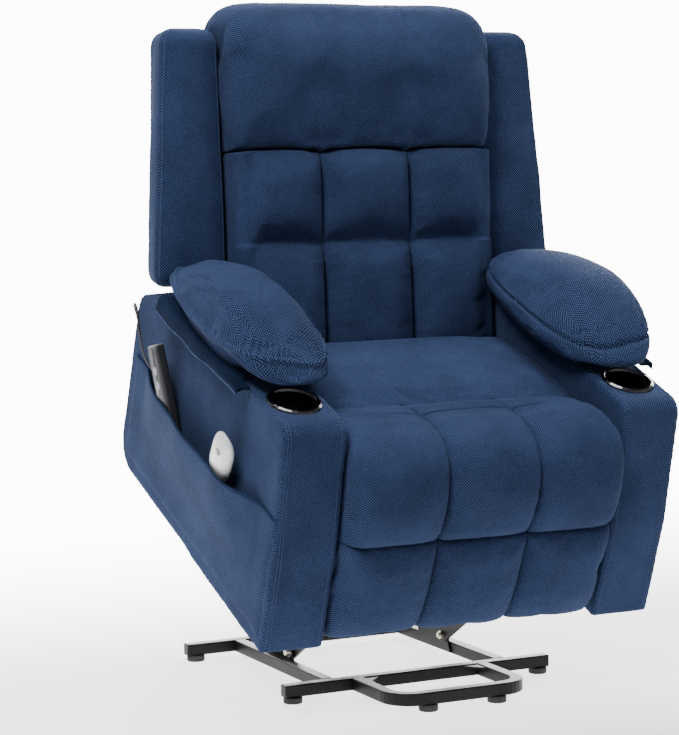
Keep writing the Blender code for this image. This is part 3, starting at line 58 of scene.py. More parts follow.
# ---------------- sizes, as in the part
ARM_DEPTH = 0.767
ARM_HEIGHT = 0.4386
ARM_INNER = 0.2888
ARM_OUTER = 0.415
ARM_TAPER = 0.01
CUSHION_HALF = 0.2828
BACK_HALF = 0.2838
CHANNEL_SEAM = 0.0945
TUFT_SEAM = 0.097
ROW_SEAM = 0.272
HEAD_SEAM = 0.455
BOARD_FRONT = -0.0085
CORD_DIAMETER = 0.0045
HANDSET_SIZE = (0.02, 0.046, 0.175)
HANDSET_TOP = (-0.4445, 0.566, 0.352)
HANDSET_UP = (-0.137, 0.491, 0.86)
REMOTE_SIZE = (0.022, 0.062, 0.135)
REMOTE_MIDDLE = (-0.4375, 0.2195, 0.288)
REMOTE_UP = (-0.17, -0.5, 0.85)
REMOTE_TURN = 14.0           # how far its face turns from straight out, in degrees
GLAND_PLACE = (-0.372, 0.24)
GLAND_LENGTH = 0.012
GAP = 0.0003
CHANNEL_SEAMS = (-CHANNEL_SEAM, CHANNEL_SEAM)
TUFT_SEAMS = (-TUFT_SEAM, TUFT_SEAM)


# ---------------- camera
def placed(name, data):
    """A new object with this data, in the scene."""
    piece = bpy.data.objects.new(name, data)
    bpy.context.scene.collection.objects.link(piece)
    return piece


CAMERA_PLACE = (-2.1408, -4.041, 1.0431)
CAMERA_AZIMUTH, CAMERA_PITCH, CAMERA_ROLL = 26.02, 5.18, -0.72
CAMERA_LENS, CAMERA_SENSOR = 117.0, 36.0


def add_camera():
    """The camera where the photograph's straight edges put it."""
    data = bpy.data.cameras.new("camera")
    data.lens = CAMERA_LENS
    data.sensor_width = CAMERA_SENSOR
    camera = placed("camera", data)
    camera.matrix_world = (Matrix.Translation(BASE @ Vector(CAMERA_PLACE))
                           @ Matrix.Rotation(-radians(CAMERA_AZIMUTH), 4, "Z")
                           @ Matrix.Rotation(pi / 2 - radians(CAMERA_PITCH), 4, "X")
                           @ Matrix.Rotation(radians(CAMERA_ROLL), 4, "Z"))
    bpy.context.scene.camera = camera


add_camera()


# ---------------- curves
def catmull(points, count, cyclic=False):
    """Points spaced evenly by length along a smooth curve through the given points."""
    knots = [Vector(p) for p in points]
    if cyclic:
        knots = [knots[-1]] + knots + knots[:2]
    else:
        knots = [2 * knots[0] - knots[1]] + knots + [2 * knots[-1] - knots[-2]]
    fine = []
    spans = len(knots) - 3
    for index in range(spans):
        a, b, c, d = knots[index:index + 4]
        for step in range(16):
            t = step / 16
            fine.append(0.5 * (2 * b + (c - a) * t + (2 * a - 5 * b + 4 * c - d) * t ** 2
                               + (3 * b - a - 3 * c + d) * t ** 3))
    fine.append(knots[-2].copy())
    lengths = [0.0]
    for p, q in zip(fine, fine[1:]):
        lengths.append(lengths[-1] + (q - p).length)
    result = []
    place = 0
    last = count if cyclic else count - 1
    for step in range(count):
        target = lengths[-1] * step / last
        while place < len(fine) - 2 and lengths[place + 1] < target:
            place += 1
        span = lengths[place + 1] - lengths[place]
        share = (target - lengths[place]) / span if span > 0 else 0.0
        result.append(fine[place].lerp(fine[place + 1], min(share, 1.0)))
    return result


def section(points, count=0):
    """A section's (back, up) points; with a count, spread evenly along a smooth curve."""
    if count:
        return catmull([(0.0, y, z) for y, z in points], count)
    return [Vector((0.0, y, z)) for y, z in points]


def at(x, ring):
    return [Vector((x, p.y, p.z)) for p in ring]


def ramp(value, low, high):
    """0 up to low and 1 from high on, with soft ends."""
    share = min(max((value - low) / (high - low), 0.0), 1.0)
    return share * share * (3.0 - 2.0 * share)


def pillow(share, power=3.4, bulge=0.42):
    """1 in the middle of a channel and 0 at its seams, for share from -1 to 1."""
    return max(1.0 - abs(share) ** power, 0.0) ** bulge


def bell(value, place, width):
    return exp(-((value - place) / width) ** 2)


def fading(distance, reach):
    return exp(-distance / reach)


def wavy(x, y, z):
    return noise.noise(Vector((x, y, z)))


def rumple(place, scale, seed=0.0):
    return noise.noise(place * scale + Vector((seed, seed * 1.7, -seed)))


# ---------------- the cord
def cord_route():
    """The handset's lead in the chair's frame, from the gland behind the arm into the pocket."""
    rear = ARM_DEPTH
    gland_x, gland_up = GLAND_PLACE
    end = rear + GAP + GLAND_LENGTH + GAP
    down = -Vector(HANDSET_UP).normalized()
    foot = Vector(HANDSET_TOP) + HANDSET_SIZE[2] * down
    return [
        (gland_x, end, gland_up), (gland_x, end + 0.005, gland_up),
        (gland_x, end + 0.009, gland_up + 0.001), (gland_x - 0.002, rear + 0.0255, gland_up + 0.007),
        (gland_x - 0.005, rear + 0.0265, gland_up + 0.019),
        (-0.383, rear + 0.025, 0.275), (-0.39, rear + 0.0215, 0.295), (-0.398, rear + 0.0165, 0.315),
        (-0.4065, rear + 0.0105, 0.332), (-0.4125, rear + 0.002, 0.344), (-0.4145, 0.759, 0.349),
        (-0.4135, 0.75, 0.343), (-0.412, 0.742, 0.326), (-0.4115, 0.731, 0.307),
        (-0.4115, 0.715, 0.289), (-0.412, 0.695, 0.274), (-0.4125, 0.67, 0.265),
        (-0.413, 0.642, 0.263), (-0.413, 0.614, 0.264), (-0.413, 0.588, 0.261),
        (-0.4125, 0.565, 0.252), (-0.4125, 0.548, 0.236), (-0.4125, 0.533, 0.214),
        (-0.4125, 0.518, 0.192), (-0.4127, 0.507, 0.17), (-0.413, 0.4995, 0.1485),
        (-0.4134, 0.479, 0.134), (-0.4138, 0.459, 0.143), (-0.4142, 0.456, 0.157),
        foot + 0.04 * down, foot + 0.02 * down, foot + GAP * down,
    ]


# ---------------- materials
class Nodes:
    """A material's node tree, with short calls that add and link nodes."""

    def __init__(self, name):
        self.material = bpy.data.materials.new(name)
        self.material.use_nodes = True
        self.tree = self.material.node_tree
        self.shader = self.tree.nodes["Principled BSDF"]

    def add(self, kind, **settings):
        node = self.tree.nodes.new("ShaderNode" + kind)
        for key, value in settings.items():
            setattr(node, key, value)
        return node

    def put(self, target, value):
        if isinstance(value, bpy.types.NodeSocket):
            self.tree.links.new(value, target)
        else:
            target.default_value = value

    def fill(self, node, **values):
        for key, value in values.items():
            self.put(node.inputs[key.replace("_", " ")], value)

    def math(self, operation, a, b=0.0, c=0.0):
        node = self.add("Math", operation=operation)
        for socket, value in zip(node.inputs, (a, b, c)):
            self.put(socket, value)
        return node.outputs[0]

    def noise(self, coordinates, scale, detail=2.0, roughness=0.5):
        node = self.add("TexNoise")
        self.fill(node, Vector=coordinates, Scale=scale, Detail=detail, Roughness=roughness)
        return node.outputs["Fac"]

    def ramp(self, factor, stops):
        node = self.add("ValToRGB")
        self.put(node.inputs["Fac"], factor)
        elements = node.color_ramp.elements
        while len(elements) < len(stops):
            elements.new(0.5)
        for element, (position, color) in zip(elements, stops):
            element.position = position
            element.color = (*color, 1.0)
        return node.outputs["Color"]

    def smooth_range(self, value, low, high, start, stop):
        node = self.add("MapRange", interpolation_type="SMOOTHSTEP")
        self.fill(node, Value=value, From_Min=low, From_Max=high, To_Min=start, To_Max=stop)
        return node.outputs["Result"]

    def bump(self, height, strength, distance, normal=None):
        node = self.add("Bump")
        self.fill(node, Strength=strength, Distance=distance, Height=height)
        if normal is not None:
            self.fill(node, Normal=normal)
        return node.outputs["Normal"]

    def set(self, **values):
        self.fill(self.shader, **values)

    def object_space(self):
        return self.add("TexCoord").outputs["Object"]


WEAVE = 0.0052               # the weave repeats over this length
SHEEN_TINT = (0.5, 0.66, 1.0, 1.0)


def fabric(name, thread, gap, light=1.0):
    """A diagonal basket weave with heathered threads, on a UV map in metres."""
    m = Nodes(name)
    uv = m.add("UVMap", uv_map="weave").outputs["UV"]
    space = m.object_space()
    split = m.add("SeparateXYZ")
    m.put(split.inputs[0], uv)
    turn = 2 * pi / WEAVE
    wobble = m.math("MULTIPLY", m.noise(space, 55.0), 1.6)
    first = m.math("SINE", m.math("MULTIPLY_ADD", split.outputs[0], turn, wobble))
    second = m.math("SINE", m.math("MULTIPLY_ADD", split.outputs[1], turn, wobble))
    lattice = m.math("MULTIPLY", first, second)
    height = m.math("MULTIPLY_ADD", lattice, 0.5, 0.5)
    fleck = m.noise(space, 420.0, 2.0, 0.6)
    heather = m.math("MULTIPLY_ADD", fleck, 0.55, m.math("MULTIPLY", height, 0.85))
    patches = m.noise(space, 9.0, 3.0, 0.6)
    tone = m.math("ADD", heather, m.math("MULTIPLY_ADD", patches, 0.34, -0.17))
    middle = [0.5 * (a + b) for a, b in zip(gap, thread)]
    color = m.ramp(tone, [(0.48, gap), (0.77, middle), (1.02, thread)])
    weave_bump = m.bump(height, 0.85, 0.0008)
    normal = m.bump(m.noise(space, 70.0, 4.0, 0.6), 0.22, 0.0022, weave_bump)
    m.set(Base_Color=color, Roughness=0.92, Normal=normal)
    m.set(Sheen_Weight=0.04 * light, Sheen_Roughness=0.45, Specular_IOR_Level=0.05)
    m.shader.inputs["Sheen Tint"].default_value = SHEEN_TINT
    return m.material


def moulded(name, color, roughness, coat=0.0, metallic=0.0, grain=180.0, depth=0.0002, gloss=0.5):
    """Plastic, rubber or painted steel: fine grain, slight colour change and uneven gloss."""
    m = Nodes(name)
    space = m.object_space()
    cloud = m.noise(space, 14.0, 4.0, 0.6)
    darker = [c * 0.78 for c in color]
    lighter = [min(c * 1.18 + 0.002, 1.0) for c in color]
    m.set(Base_Color=m.ramp(cloud, [(0.3, darker), (0.7, lighter)]), Metallic=metallic)
    scuff = m.noise(space, 46.0, 5.0, 0.7)
    m.set(Roughness=m.math("MULTIPLY_ADD", scuff, 0.35 * roughness, 0.825 * roughness))
    m.set(Coat_Weight=coat, Coat_Roughness=0.12, Specular_IOR_Level=gloss)
    m.set(Normal=m.bump(m.noise(space, grain * 8, 2.0), 0.35, depth))
    return m.material


def plywood(name):
    """Bare birch plywood, with its grain drawn out along the panel."""
    m = Nodes(name)
    space = m.object_space()
    mapping = m.add("Mapping")
    m.fill(mapping, Vector=space, Scale=(2.0, 26.0, 26.0))
    rings = m.noise(mapping.outputs["Vector"], 3.0, 6.0, 0.65)
    m.set(Base_Color=m.ramp(rings, [(0.32, (0.3, 0.18, 0.09)), (0.68, (0.52, 0.37, 0.22))]), Roughness=0.62)
    m.set(Normal=m.bump(rings, 0.25, 0.0006))
    return m.material


FABRIC = fabric("blue_weave", (0.046, 0.072, 0.164), (0.0014, 0.0035, 0.012))
# a darker copy of the weave, painted shade: for the skirt along the arm's outer side, which hangs in shadow,
# and for the pocket's hem
FABRIC_SHADE = fabric("blue_weave_painted_shade", (0.012, 0.025, 0.062), (0.001, 0.0025, 0.008), 0.3)
LINING = fabric("dark_lining", (0.02, 0.022, 0.028), (0.006, 0.006, 0.009), 0.2)
THREAD = moulded("seam_thread", (0.01, 0.026, 0.08), 0.85)
STEEL = moulded("black_steel", (0.005, 0.005, 0.0055), 0.42, 0.0, 0.0, 60.0, 0.0003, 0.14)
ZINC = moulded("zinc_plate", (0.56, 0.53, 0.46), 0.3, 0.0, 0.95)
BRIGHT = moulded("polished_rod", (0.72, 0.72, 0.74), 0.16, 0.0, 1.0)
RUBBER = moulded("foot_rubber", (0.013, 0.013, 0.013), 0.8)
CORD_RUBBER = moulded("cord_rubber", (0.01, 0.01, 0.011), 0.55)
BLACK = moulded("black_plastic", (0.014, 0.014, 0.016), 0.38, 0.1)
BOWL = moulded("cup_bowl", (0.006, 0.006, 0.007), 0.14, 0.6)
SMOKED = moulded("smoked_chrome", (0.05, 0.05, 0.055), 0.16, 0.2, 1.0)
FACE = moulded("handset_face", (0.06, 0.062, 0.068), 0.42, 0.0, 0.2, gloss=0.3)
WHITE = moulded("white_plastic", (0.62, 0.63, 0.64), 0.26, 0.3)
GREY = moulded("button_grey", (0.26, 0.27, 0.29), 0.45)
PLY = plywood("plywood_panel")


# ---------------- mesh building
def cube_form(cuts):
    """A cube from -1 to 1, with each face cut into a grid."""
    form = bmesh.new()
    bmesh.ops.create_cube(form, size=2.0)
    bmesh.ops.subdivide_edges(form, edges=form.edges, cuts=cuts, use_grid_fill=True)
    return form


def finished(form):
    """The mesh of a form whose building is done."""
    mesh = bpy.data.meshes.new("form")
    form.to_mesh(mesh)
    form.free()
    return mesh


def applied(holder):
    """The holder's mesh with its modifiers applied; the holder goes."""
    shown = holder.evaluated_get(bpy.context.evaluated_depsgraph_get())
    mesh = bpy.data.meshes.new_from_object(shown)
    bpy.data.objects.remove(holder, do_unlink=True)
    return mesh


def new_object(name, mesh, material, matrix, body, replaces=()):
    """Carry a finished mesh into the world, dress it and hang it on its body."""
    mesh.transform(matrix)
    mesh.name = name
    mesh.materials.clear()
    mesh.materials.append(material)
    mesh.shade_smooth()
    piece = placed(name, mesh)
    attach(piece, body)
    if replaces:
        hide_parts(*replaces)
    return piece


def upholstered(name, mesh, matrix, body, node):
    """A smooth padded piece in the blue weave, standing for a node."""
    subdivided(new_object(name, mesh, FABRIC, matrix, body, [node]))


def loft(rings, cap_steps=3):
    """A closed surface through loops with equal counts, with a weave UV map in metres."""
    form = bmesh.new()
    layer = form.loops.layers.uv.new("weave")
    count = len(rings[0])
    grid = [[form.verts.new(p) for p in ring] for ring in rings]

    def cap_face(*corners):
        for loop in form.faces.new(corners).loops:
            loop[layer].uv = (loop.vert.co.y, loop.vert.co.z)

    along = [0.0]
    for a, b in zip(rings, rings[1:]):
        along.append(along[-1] + sum((Vector(q) - Vector(p)).length for p, q in zip(a, b)) / count)
    middle = rings[len(rings) // 2]
    around = [0.0]
    for index in range(count):
        around.append(around[-1] + (Vector(middle[(index + 1) % count]) - Vector(middle[index])).length)
    for i in range(len(rings) - 1):
        for j in range(count):
            k = (j + 1) % count
            face = form.faces.new((grid[i][j], grid[i + 1][j], grid[i + 1][k], grid[i][k]))
            corners = ((i, j), (i + 1, j), (i + 1, j + 1), (i, j + 1))
            for loop, (row, column) in zip(face.loops, corners):
                loop[layer].uv = (along[row], around[column])
    for ring in (grid[0], grid[-1]):
        centre = sum((v.co for v in ring), Vector()) / count
        outer = ring
        for step in range(1, cap_steps):
            inner = [form.verts.new(v.co.lerp(centre, step / cap_steps)) for v in ring]
            for j in range(count):
                k = (j + 1) % count
                cap_face(outer[j], outer[k], inner[k], inner[j])
            outer = inner
        hub = form.verts.new(centre)
        for j in range(count):
            cap_face(outer[j], outer[(j + 1) % count], hub)
    bmesh.ops.recalc_face_normals(form, faces=form.faces)
    return finished(form)


def box_uv(mesh):
    """A weave UV map in metres, projected along each face's main axis."""
    layer = mesh.uv_layers.get("weave") or mesh.uv_layers.new(name="weave")
    for polygon in mesh.polygons:
        normal = polygon.normal
        axis = max(range(3), key=lambda a: abs(normal[a]))
        first, second = [a for a in range(3) if a != axis]
        for index in polygon.loop_indices:
            place = mesh.vertices[mesh.loops[index].vertex_index].co
            layer.data[index].uv = (place[first], place[second])


def displace(mesh, height):
    """Move each point along its normal by height(place)."""
    normals = [v.normal.copy() for v in mesh.vertices]
    shifts = [height(v.co) for v in mesh.vertices]
    for vertex, normal, shift in zip(mesh.vertices, normals, shifts):
        vertex.co += normal * shift


def denser(mesh):
    """The mesh after one smoothing subdivision, so that folds can be cut into it."""
    holder = placed("holder", mesh)
    holder.modifiers.new("smooth", "SUBSURF").levels = 1
    bpy.context.view_layer.update()
    return applied(holder)


def subdivided(piece):
    modifier = piece.modifiers.new("smooth", "SUBSURF")
    modifier.levels = 1
    modifier.render_levels = 1


def channel_stations(half, seams, steps=22):
    """x stations, dense at the seams and the ends; each comes with its channel share."""
    edges = (-half, *seams, half)
    stations = []
    for index, (low, high) in enumerate(zip(edges, edges[1:])):
        middle, reach = (low + high) / 2, (high - low) / 2
        for step in range(1 if index else 0, steps + 1):
            share = sin(pi * (step / steps - 0.5))
            stations.append((middle + reach * share, share))
    return stations


def end_inset(x, half, radius):
    """How far a section draws in at a cushion's rounded end."""
    over = max(abs(x) - (half - radius), 0.0) / radius
    return radius * (1.0 - sqrt(max(1.0 - over * over, 0.0)))


def inset_ring(ring, centre, distance):
    """A ring drawn in towards its centre by a distance."""
    result = []
    for p in ring:
        reach = p - centre
        length = max(reach.length, 0.0001)
        result.append(centre + reach * max(1.0 - distance / length, 0.05))
    return result


def channelled(seam_curve, crown_curve, rear_curve, radius, count):
    """Rings of a pad whose front swells between seam_curve and crown_curve in each channel."""
    seam, crown, rear = section(seam_curve, count), section(crown_curve, count), section(rear_curve)
    rings = []
    for x, share in channel_stations(CUSHION_HALF, CHANNEL_SEAMS):
        rise = pillow(share)
        inset = end_inset(x, CUSHION_HALF, radius)
        ring = []
        for s, c in zip(seam, crown):
            p = s.lerp(c, rise)
            facing = ramp(0.05 - p.y, 0.0, 0.05)
            p += Vector((0.0, inset * facing, -0.7 * inset * (1.0 - facing)))
            ring.append(p)
        rings.append(at(x, ring + rear))
    return rings


# how the covers give while they are filled
CLOTH = {"pin_stiffness": 8.0, "quality": 6, "mass": 0.25, "tension_stiffness": 12.0,
         "compression_stiffness": 12.0, "shear_stiffness": 6.0, "bending_stiffness": 0.12,
         "use_pressure": True}
FILL_FRAMES = 16


def swelled(mesh, held, pressure, growth, cap):
    """Fill a closed cover like a stuffed one, with cloth simulation; held(place) is 1 where it is sewn."""
    starts = [v.co.copy() for v in mesh.vertices]
    cover = placed("cover", mesh)
    group = cover.vertex_groups.new(name="held")
    for vertex in mesh.vertices:
        group.add([vertex.index], min(max(held(vertex.co), 0.0), 1.0), "REPLACE")
    modifier = cover.modifiers.new("cloth", "CLOTH")
    cloth = modifier.settings
    cloth.vertex_group_mass = "held"
    for key, value in CLOTH.items():
        setattr(cloth, key, value)
    cloth.shrink_min = -growth
    cloth.uniform_pressure_force = pressure
    cloth.effector_weights.gravity = 0.0
    modifier.collision_settings.use_collision = False
    modifier.point_cache.frame_start = 1
    modifier.point_cache.frame_end = FILL_FRAMES
    for frame_number in range(1, FILL_FRAMES + 1):
        bpy.context.scene.frame_set(frame_number)
    filled = applied(cover)
    bpy.context.scene.frame_set(1)
    for vertex, start in zip(filled.vertices, starts):
        shift = vertex.co - start
        if shift.length > cap:
            vertex.co = start + shift * (cap / shift.length)
    return filled


def line_object(name, points, radius, resolution, material):
    """A round line along world points."""
    curve = bpy.data.curves.new(name, "CURVE")
    curve.dimensions = "3D"
    curve.bevel_depth = radius
    curve.bevel_resolution = resolution
    curve.use_fill_caps = True
    spline = curve.splines.new("POLY")
    spline.points.add(len(points) - 1)
    for point, place in zip(spline.points, points):
        point.co = (*place, 1.0)
    curve.materials.append(material)
    return placed(name, curve)


def thick_line(name, points, radius, material, body="chair"):
    """A thin round thread or piping along world points."""
    line = line_object(name, points, radius, 2, material)
    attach(line, body)
    return line


def laid_on(mesh, points, lift):
    """World points moved onto a mesh's surface, lift above it."""
    tree = BVHTree.FromPolygons([v.co for v in mesh.vertices], [p.vertices[:] for p in mesh.polygons])
    result = []
    for point in points:
        place, normal, _, _ = tree.find_nearest(Vector(point))
        result.append(place + normal * lift)
    return result


# ---------------- footrest
SEWN = 0.004                 # how far a sewn line holds the cover on each side


def near_any(value, places, width):
    return max(bell(value, place, width) for place in places)


def build_footrest():
    """The two pads of the footrest, each with three channels."""
    face, parting = 0.0544, 0.214
    crown = [(0.121, 0.384), (0.1213, 0.406), (0.1206, 0.4092), (0.1175, 0.4102), (0.098, 0.4128),
             (0.07, 0.4155), (0.028, 0.408), (-0.01, 0.386), (-0.037, 0.352), (-0.05, 0.308),
             (-0.05, 0.266), (-0.042, 0.236), (-0.022, 0.2142)]
    seam = [(0.121, 0.378), (0.1213, 0.392), (0.1206, 0.395), (0.1175, 0.396), (0.098, 0.3975),
            (0.07, 0.4), (0.032, 0.393), (0.003, 0.376), (-0.013, 0.346), (-0.0185, 0.306),
            (-0.017, 0.262), (-0.013, 0.234), (-0.01, 0.2142)]
    rear = [(0.02, 0.2142), (0.04, 0.2142), (face, 0.2142), (face, 0.26), (face, 0.31), (face, 0.36),
            (face, 0.3728), (0.075, 0.3728), (0.095, 0.3728), (0.112, 0.3732)]
    mesh = loft(channelled(seam, crown, rear, 0.03, 110))

    def held(p):
        sewn = near_any(p.x, CHANNEL_SEAMS, SEWN) if p.y < 0.115 else 0.0
        foot = bell(p.z, parting + 0.0002, 0.005)
        return 1.0 if p.y > 0.05 and p.z < 0.374 or p.y > 0.112 else max(sewn, foot)

    mesh = swelled(mesh, held, 1.6, 0.03, 0.008)

    def puckers(p):
        near_seam = fading(abs(abs(p.x) - CHANNEL_SEAM), 0.016) if p.y < 0.1 else 0.0
        low = fading(max(p.z - parting - 0.0002, 0.0), 0.018) if p.y < 0.03 else 0.0
        wave = wavy(p.x * 60.0, p.y * 26.0, p.z * 60.0)
        return 0.0014 * wave * (near_seam + low) + 0.0014 * rumple(p, 14.0)

    displace(mesh, puckers)
    upholstered("footrest_pad_upper", mesh, CHAIR, "footrest", "footrest_cushion_upper")

    crown = [(-0.02, 0.2138), (-0.031, 0.204), (-0.0355, 0.18), (-0.036, 0.145), (-0.034, 0.105),
             (-0.028, 0.066), (-0.017, 0.036), (-0.002, 0.017), (0.022, 0.009)]
    seam = [(-0.0095, 0.2138), (-0.0125, 0.202), (-0.013, 0.178), (-0.0118, 0.143), (-0.0095, 0.105),
            (-0.004, 0.066), (0.004, 0.038), (0.014, 0.021), (0.028, 0.012)]
    rear = [(0.04, 0.01), (face, 0.011), (face, 0.06), (face, 0.11), (face, 0.16), (face, 0.2138),
            (0.03, 0.2138)]
    mesh = loft(channelled(seam, crown, rear, 0.022, 46))

    def held_low(p):
        if p.y > 0.04:
            return 1.0
        return max(near_any(p.x, CHANNEL_SEAMS, SEWN), bell(p.z, parting - 0.0002, 0.005))

    mesh = swelled(mesh, held_low, 1.2, 0.025, 0.006)

    def creases(p):
        high = fading(max(parting - 0.0002 - p.z, 0.0), 0.02) if p.y < 0.03 else 0.0
        wave = wavy(p.x * 55.0, p.y * 20.0, p.z * 22.0)
        return 0.0014 * wave * (1.2 * high + 0.3) + 0.0014 * rumple(p, 12.0, 3.0)

    displace(mesh, creases)
    upholstered("footrest_pad_lower", mesh, CHAIR, "footrest", "footrest_cushion_lower")


# ---------------- seat
SEAT_SEAM = 0.194            # where the channelled front edge is sewn to the flat seat


def build_seat():
    """The seat cushion, channelled up to SEAT_SEAM and flat behind it."""
    top = [(0.14, 0.312), (0.129, 0.345), (0.1232, 0.378), (0.123, 0.405), (0.1238, 0.4082),
           (0.127, 0.4092), (0.146, 0.4065), (0.164, 0.402), (0.182, 0.3935), (0.1935, 0.385),
           (0.206, 0.3895), (0.235, 0.3925), (0.3, 0.3935), (0.37, 0.3905), (0.43, 0.3855),
           (0.475, 0.378), (0.503, 0.36), (0.5095, 0.33), (0.5085, 0.295)]
    edge = [(0.14, 0.312), (0.1292, 0.342), (0.1232, 0.37), (0.123, 0.39), (0.1238, 0.3932),
            (0.127, 0.3942), (0.146, 0.3925), (0.164, 0.3895), (0.182, 0.3845), (0.1935, 0.381),
            (0.206, 0.383), (0.235, 0.385), (0.3, 0.3855), (0.37, 0.3825), (0.43, 0.3775),
            (0.475, 0.37), (0.5, 0.353), (0.5085, 0.325), (0.5085, 0.295)]
    bottom = section([(0.508, 0.2935), (0.42, 0.2965), (0.32, 0.2995), (0.22, 0.3025), (0.15, 0.3045)])
    half = CUSHION_HALF
    top_curve, edge_curve = section(top, 130), section(edge, 130)
    rings = []
    for x, share in channel_stations(half, CHANNEL_SEAMS):
        crown = max(1.0 - abs(x / half) ** 5.0, 0.0)
        inset = end_inset(x, half, 0.02)
        ring = []
        for e, t in zip(edge_curve, top_curve):
            p = e.lerp(t, crown * pillow(share) if t.y < SEAT_SEAM else crown)
            p.z -= inset * ramp(p.z, 0.33, 0.38)
            ring.append(p)
        rings.append(at(x, ring + bottom))
    mesh = loft(rings)

    def held(p):
        if p.z < 0.33 or p.y < 0.15:
            return 1.0
        return max(bell(p.y, SEAT_SEAM, 0.005), bell(abs(p.x), half, 0.006))

    mesh = swelled(mesh, held, 0.5, 0.012, 0.006)

    def soft(p):
        near = fading(abs(p.y - SEAT_SEAM), 0.018)
        wave = wavy(p.x * 55.0, p.y * 14.0, 0.0)
        return 0.0022 * rumple(p, 7.0, 5.0) + 0.0008 * rumple(p, 32.0, 1.0) + 0.001 * wave * near

    displace(mesh, soft)
    upholstered("seat_pad", mesh, CHAIR, "chair", "seat_cushion")


# ---------------- backrest
BOW = 0.007                  # how far a seam rises in the middle of a tuft


def bow(x):
    """Seams rise in the middle of each tuft and dip where they cross."""
    edges = (-BACK_HALF, *TUFT_SEAMS, BACK_HALF)
    for low, high in zip(edges, edges[1:]):
        if low <= x <= high:
            share = (2.0 * x - low - high) / (high - low)
            return BOW * (1.0 - share * share) - 0.3 * BOW
    return 0.0


def tuft_fade(x):
    """1 on the tufts and 0 at the cushion's ends, where the cross seam runs out."""
    return 1.0 - ramp(abs(x), BACK_HALF - 0.055, BACK_HALF - 0.02)


def build_lumbar():
    """The tufted cushion: two rows of three pillows."""
    low, high, rows = 0.022, HEAD_SEAM - 0.0004, 84
    rings = []
    for x, share in channel_stations(BACK_HALF, TUFT_SEAMS):
        inset = end_inset(x, BACK_HALF, 0.022)
        rise_here = bow(x)
        row_seam = ROW_SEAM + rise_here
        fade = tuft_fade(x)
        across = pillow(share, 3.4, 0.45) if abs(x) < TUFT_SEAM + 0.07 else 1.0
        ring = []
        for step in range(rows + 1):
            up = low + (high - low) * step / rows
            upper = up > row_seam
            bottom, top = (row_seam, HEAD_SEAM) if upper else (0.01, row_seam)
            row = 2.0 * (up - bottom) / (top - bottom) - 1.0
            soft = pillow(row, 2.4, 0.62) if upper and row < 0.0 else pillow(row, 3.0, 0.5)
            rise = across * (soft * fade + 0.62 * (1.0 - fade))
            depth = 0.112 + (0.036 if upper else 0.044) * rise
            tuck = 0.012 * (1.0 - ramp(up, low, low + 0.05))
            lift = rise_here * ramp(up, high - 0.05, high)
            ring.append(Vector((0.0, -depth + tuck + inset, up + lift)))
        ring += section([(-0.03, high)] + [(BOARD_FRONT, up) for up in (0.35, 0.24, 0.13, low)])
        rings.append(at(x, ring))
    mesh = loft(rings)

    def held(p):
        if p.y > -0.04:
            return 1.0
        column = near_any(p.x, TUFT_SEAMS, SEWN)
        row = bell(p.z, ROW_SEAM + bow(p.x), SEWN) * tuft_fade(p.x)
        top = ramp(p.z, HEAD_SEAM - 0.004, HEAD_SEAM)
        return max(column, row, top, ramp(abs(p.x), BACK_HALF - 0.035, BACK_HALF - 0.012))

    mesh = swelled(mesh, held, 1.3, 0.03, 0.005)

    def puckers(p):
        if p.y > -0.05:
            return 0.0
        calm = 1.0 - ramp(abs(p.x), BACK_HALF - 0.04, BACK_HALF - 0.02)
        column = abs(abs(p.x) - TUFT_SEAM)
        row = min(abs(p.z - ROW_SEAM), abs(p.z - HEAD_SEAM))
        corner = fading(hypot(column, row), 0.026)
        along = fading(row, 0.014) + fading(column, 0.014)
        wave = wavy(p.x * 70.0, 0.0, p.z * 70.0)
        rays = sin(atan2(row, column) * 9.0)
        return calm * (0.0012 * wave * along + 0.002 * rays * corner) + 0.0018 * rumple(p, 13.0, 2.0)

    displace(mesh, puckers)
    upholstered("back_tufted_cushion", mesh, BACK, "backrest", "back_cushion")


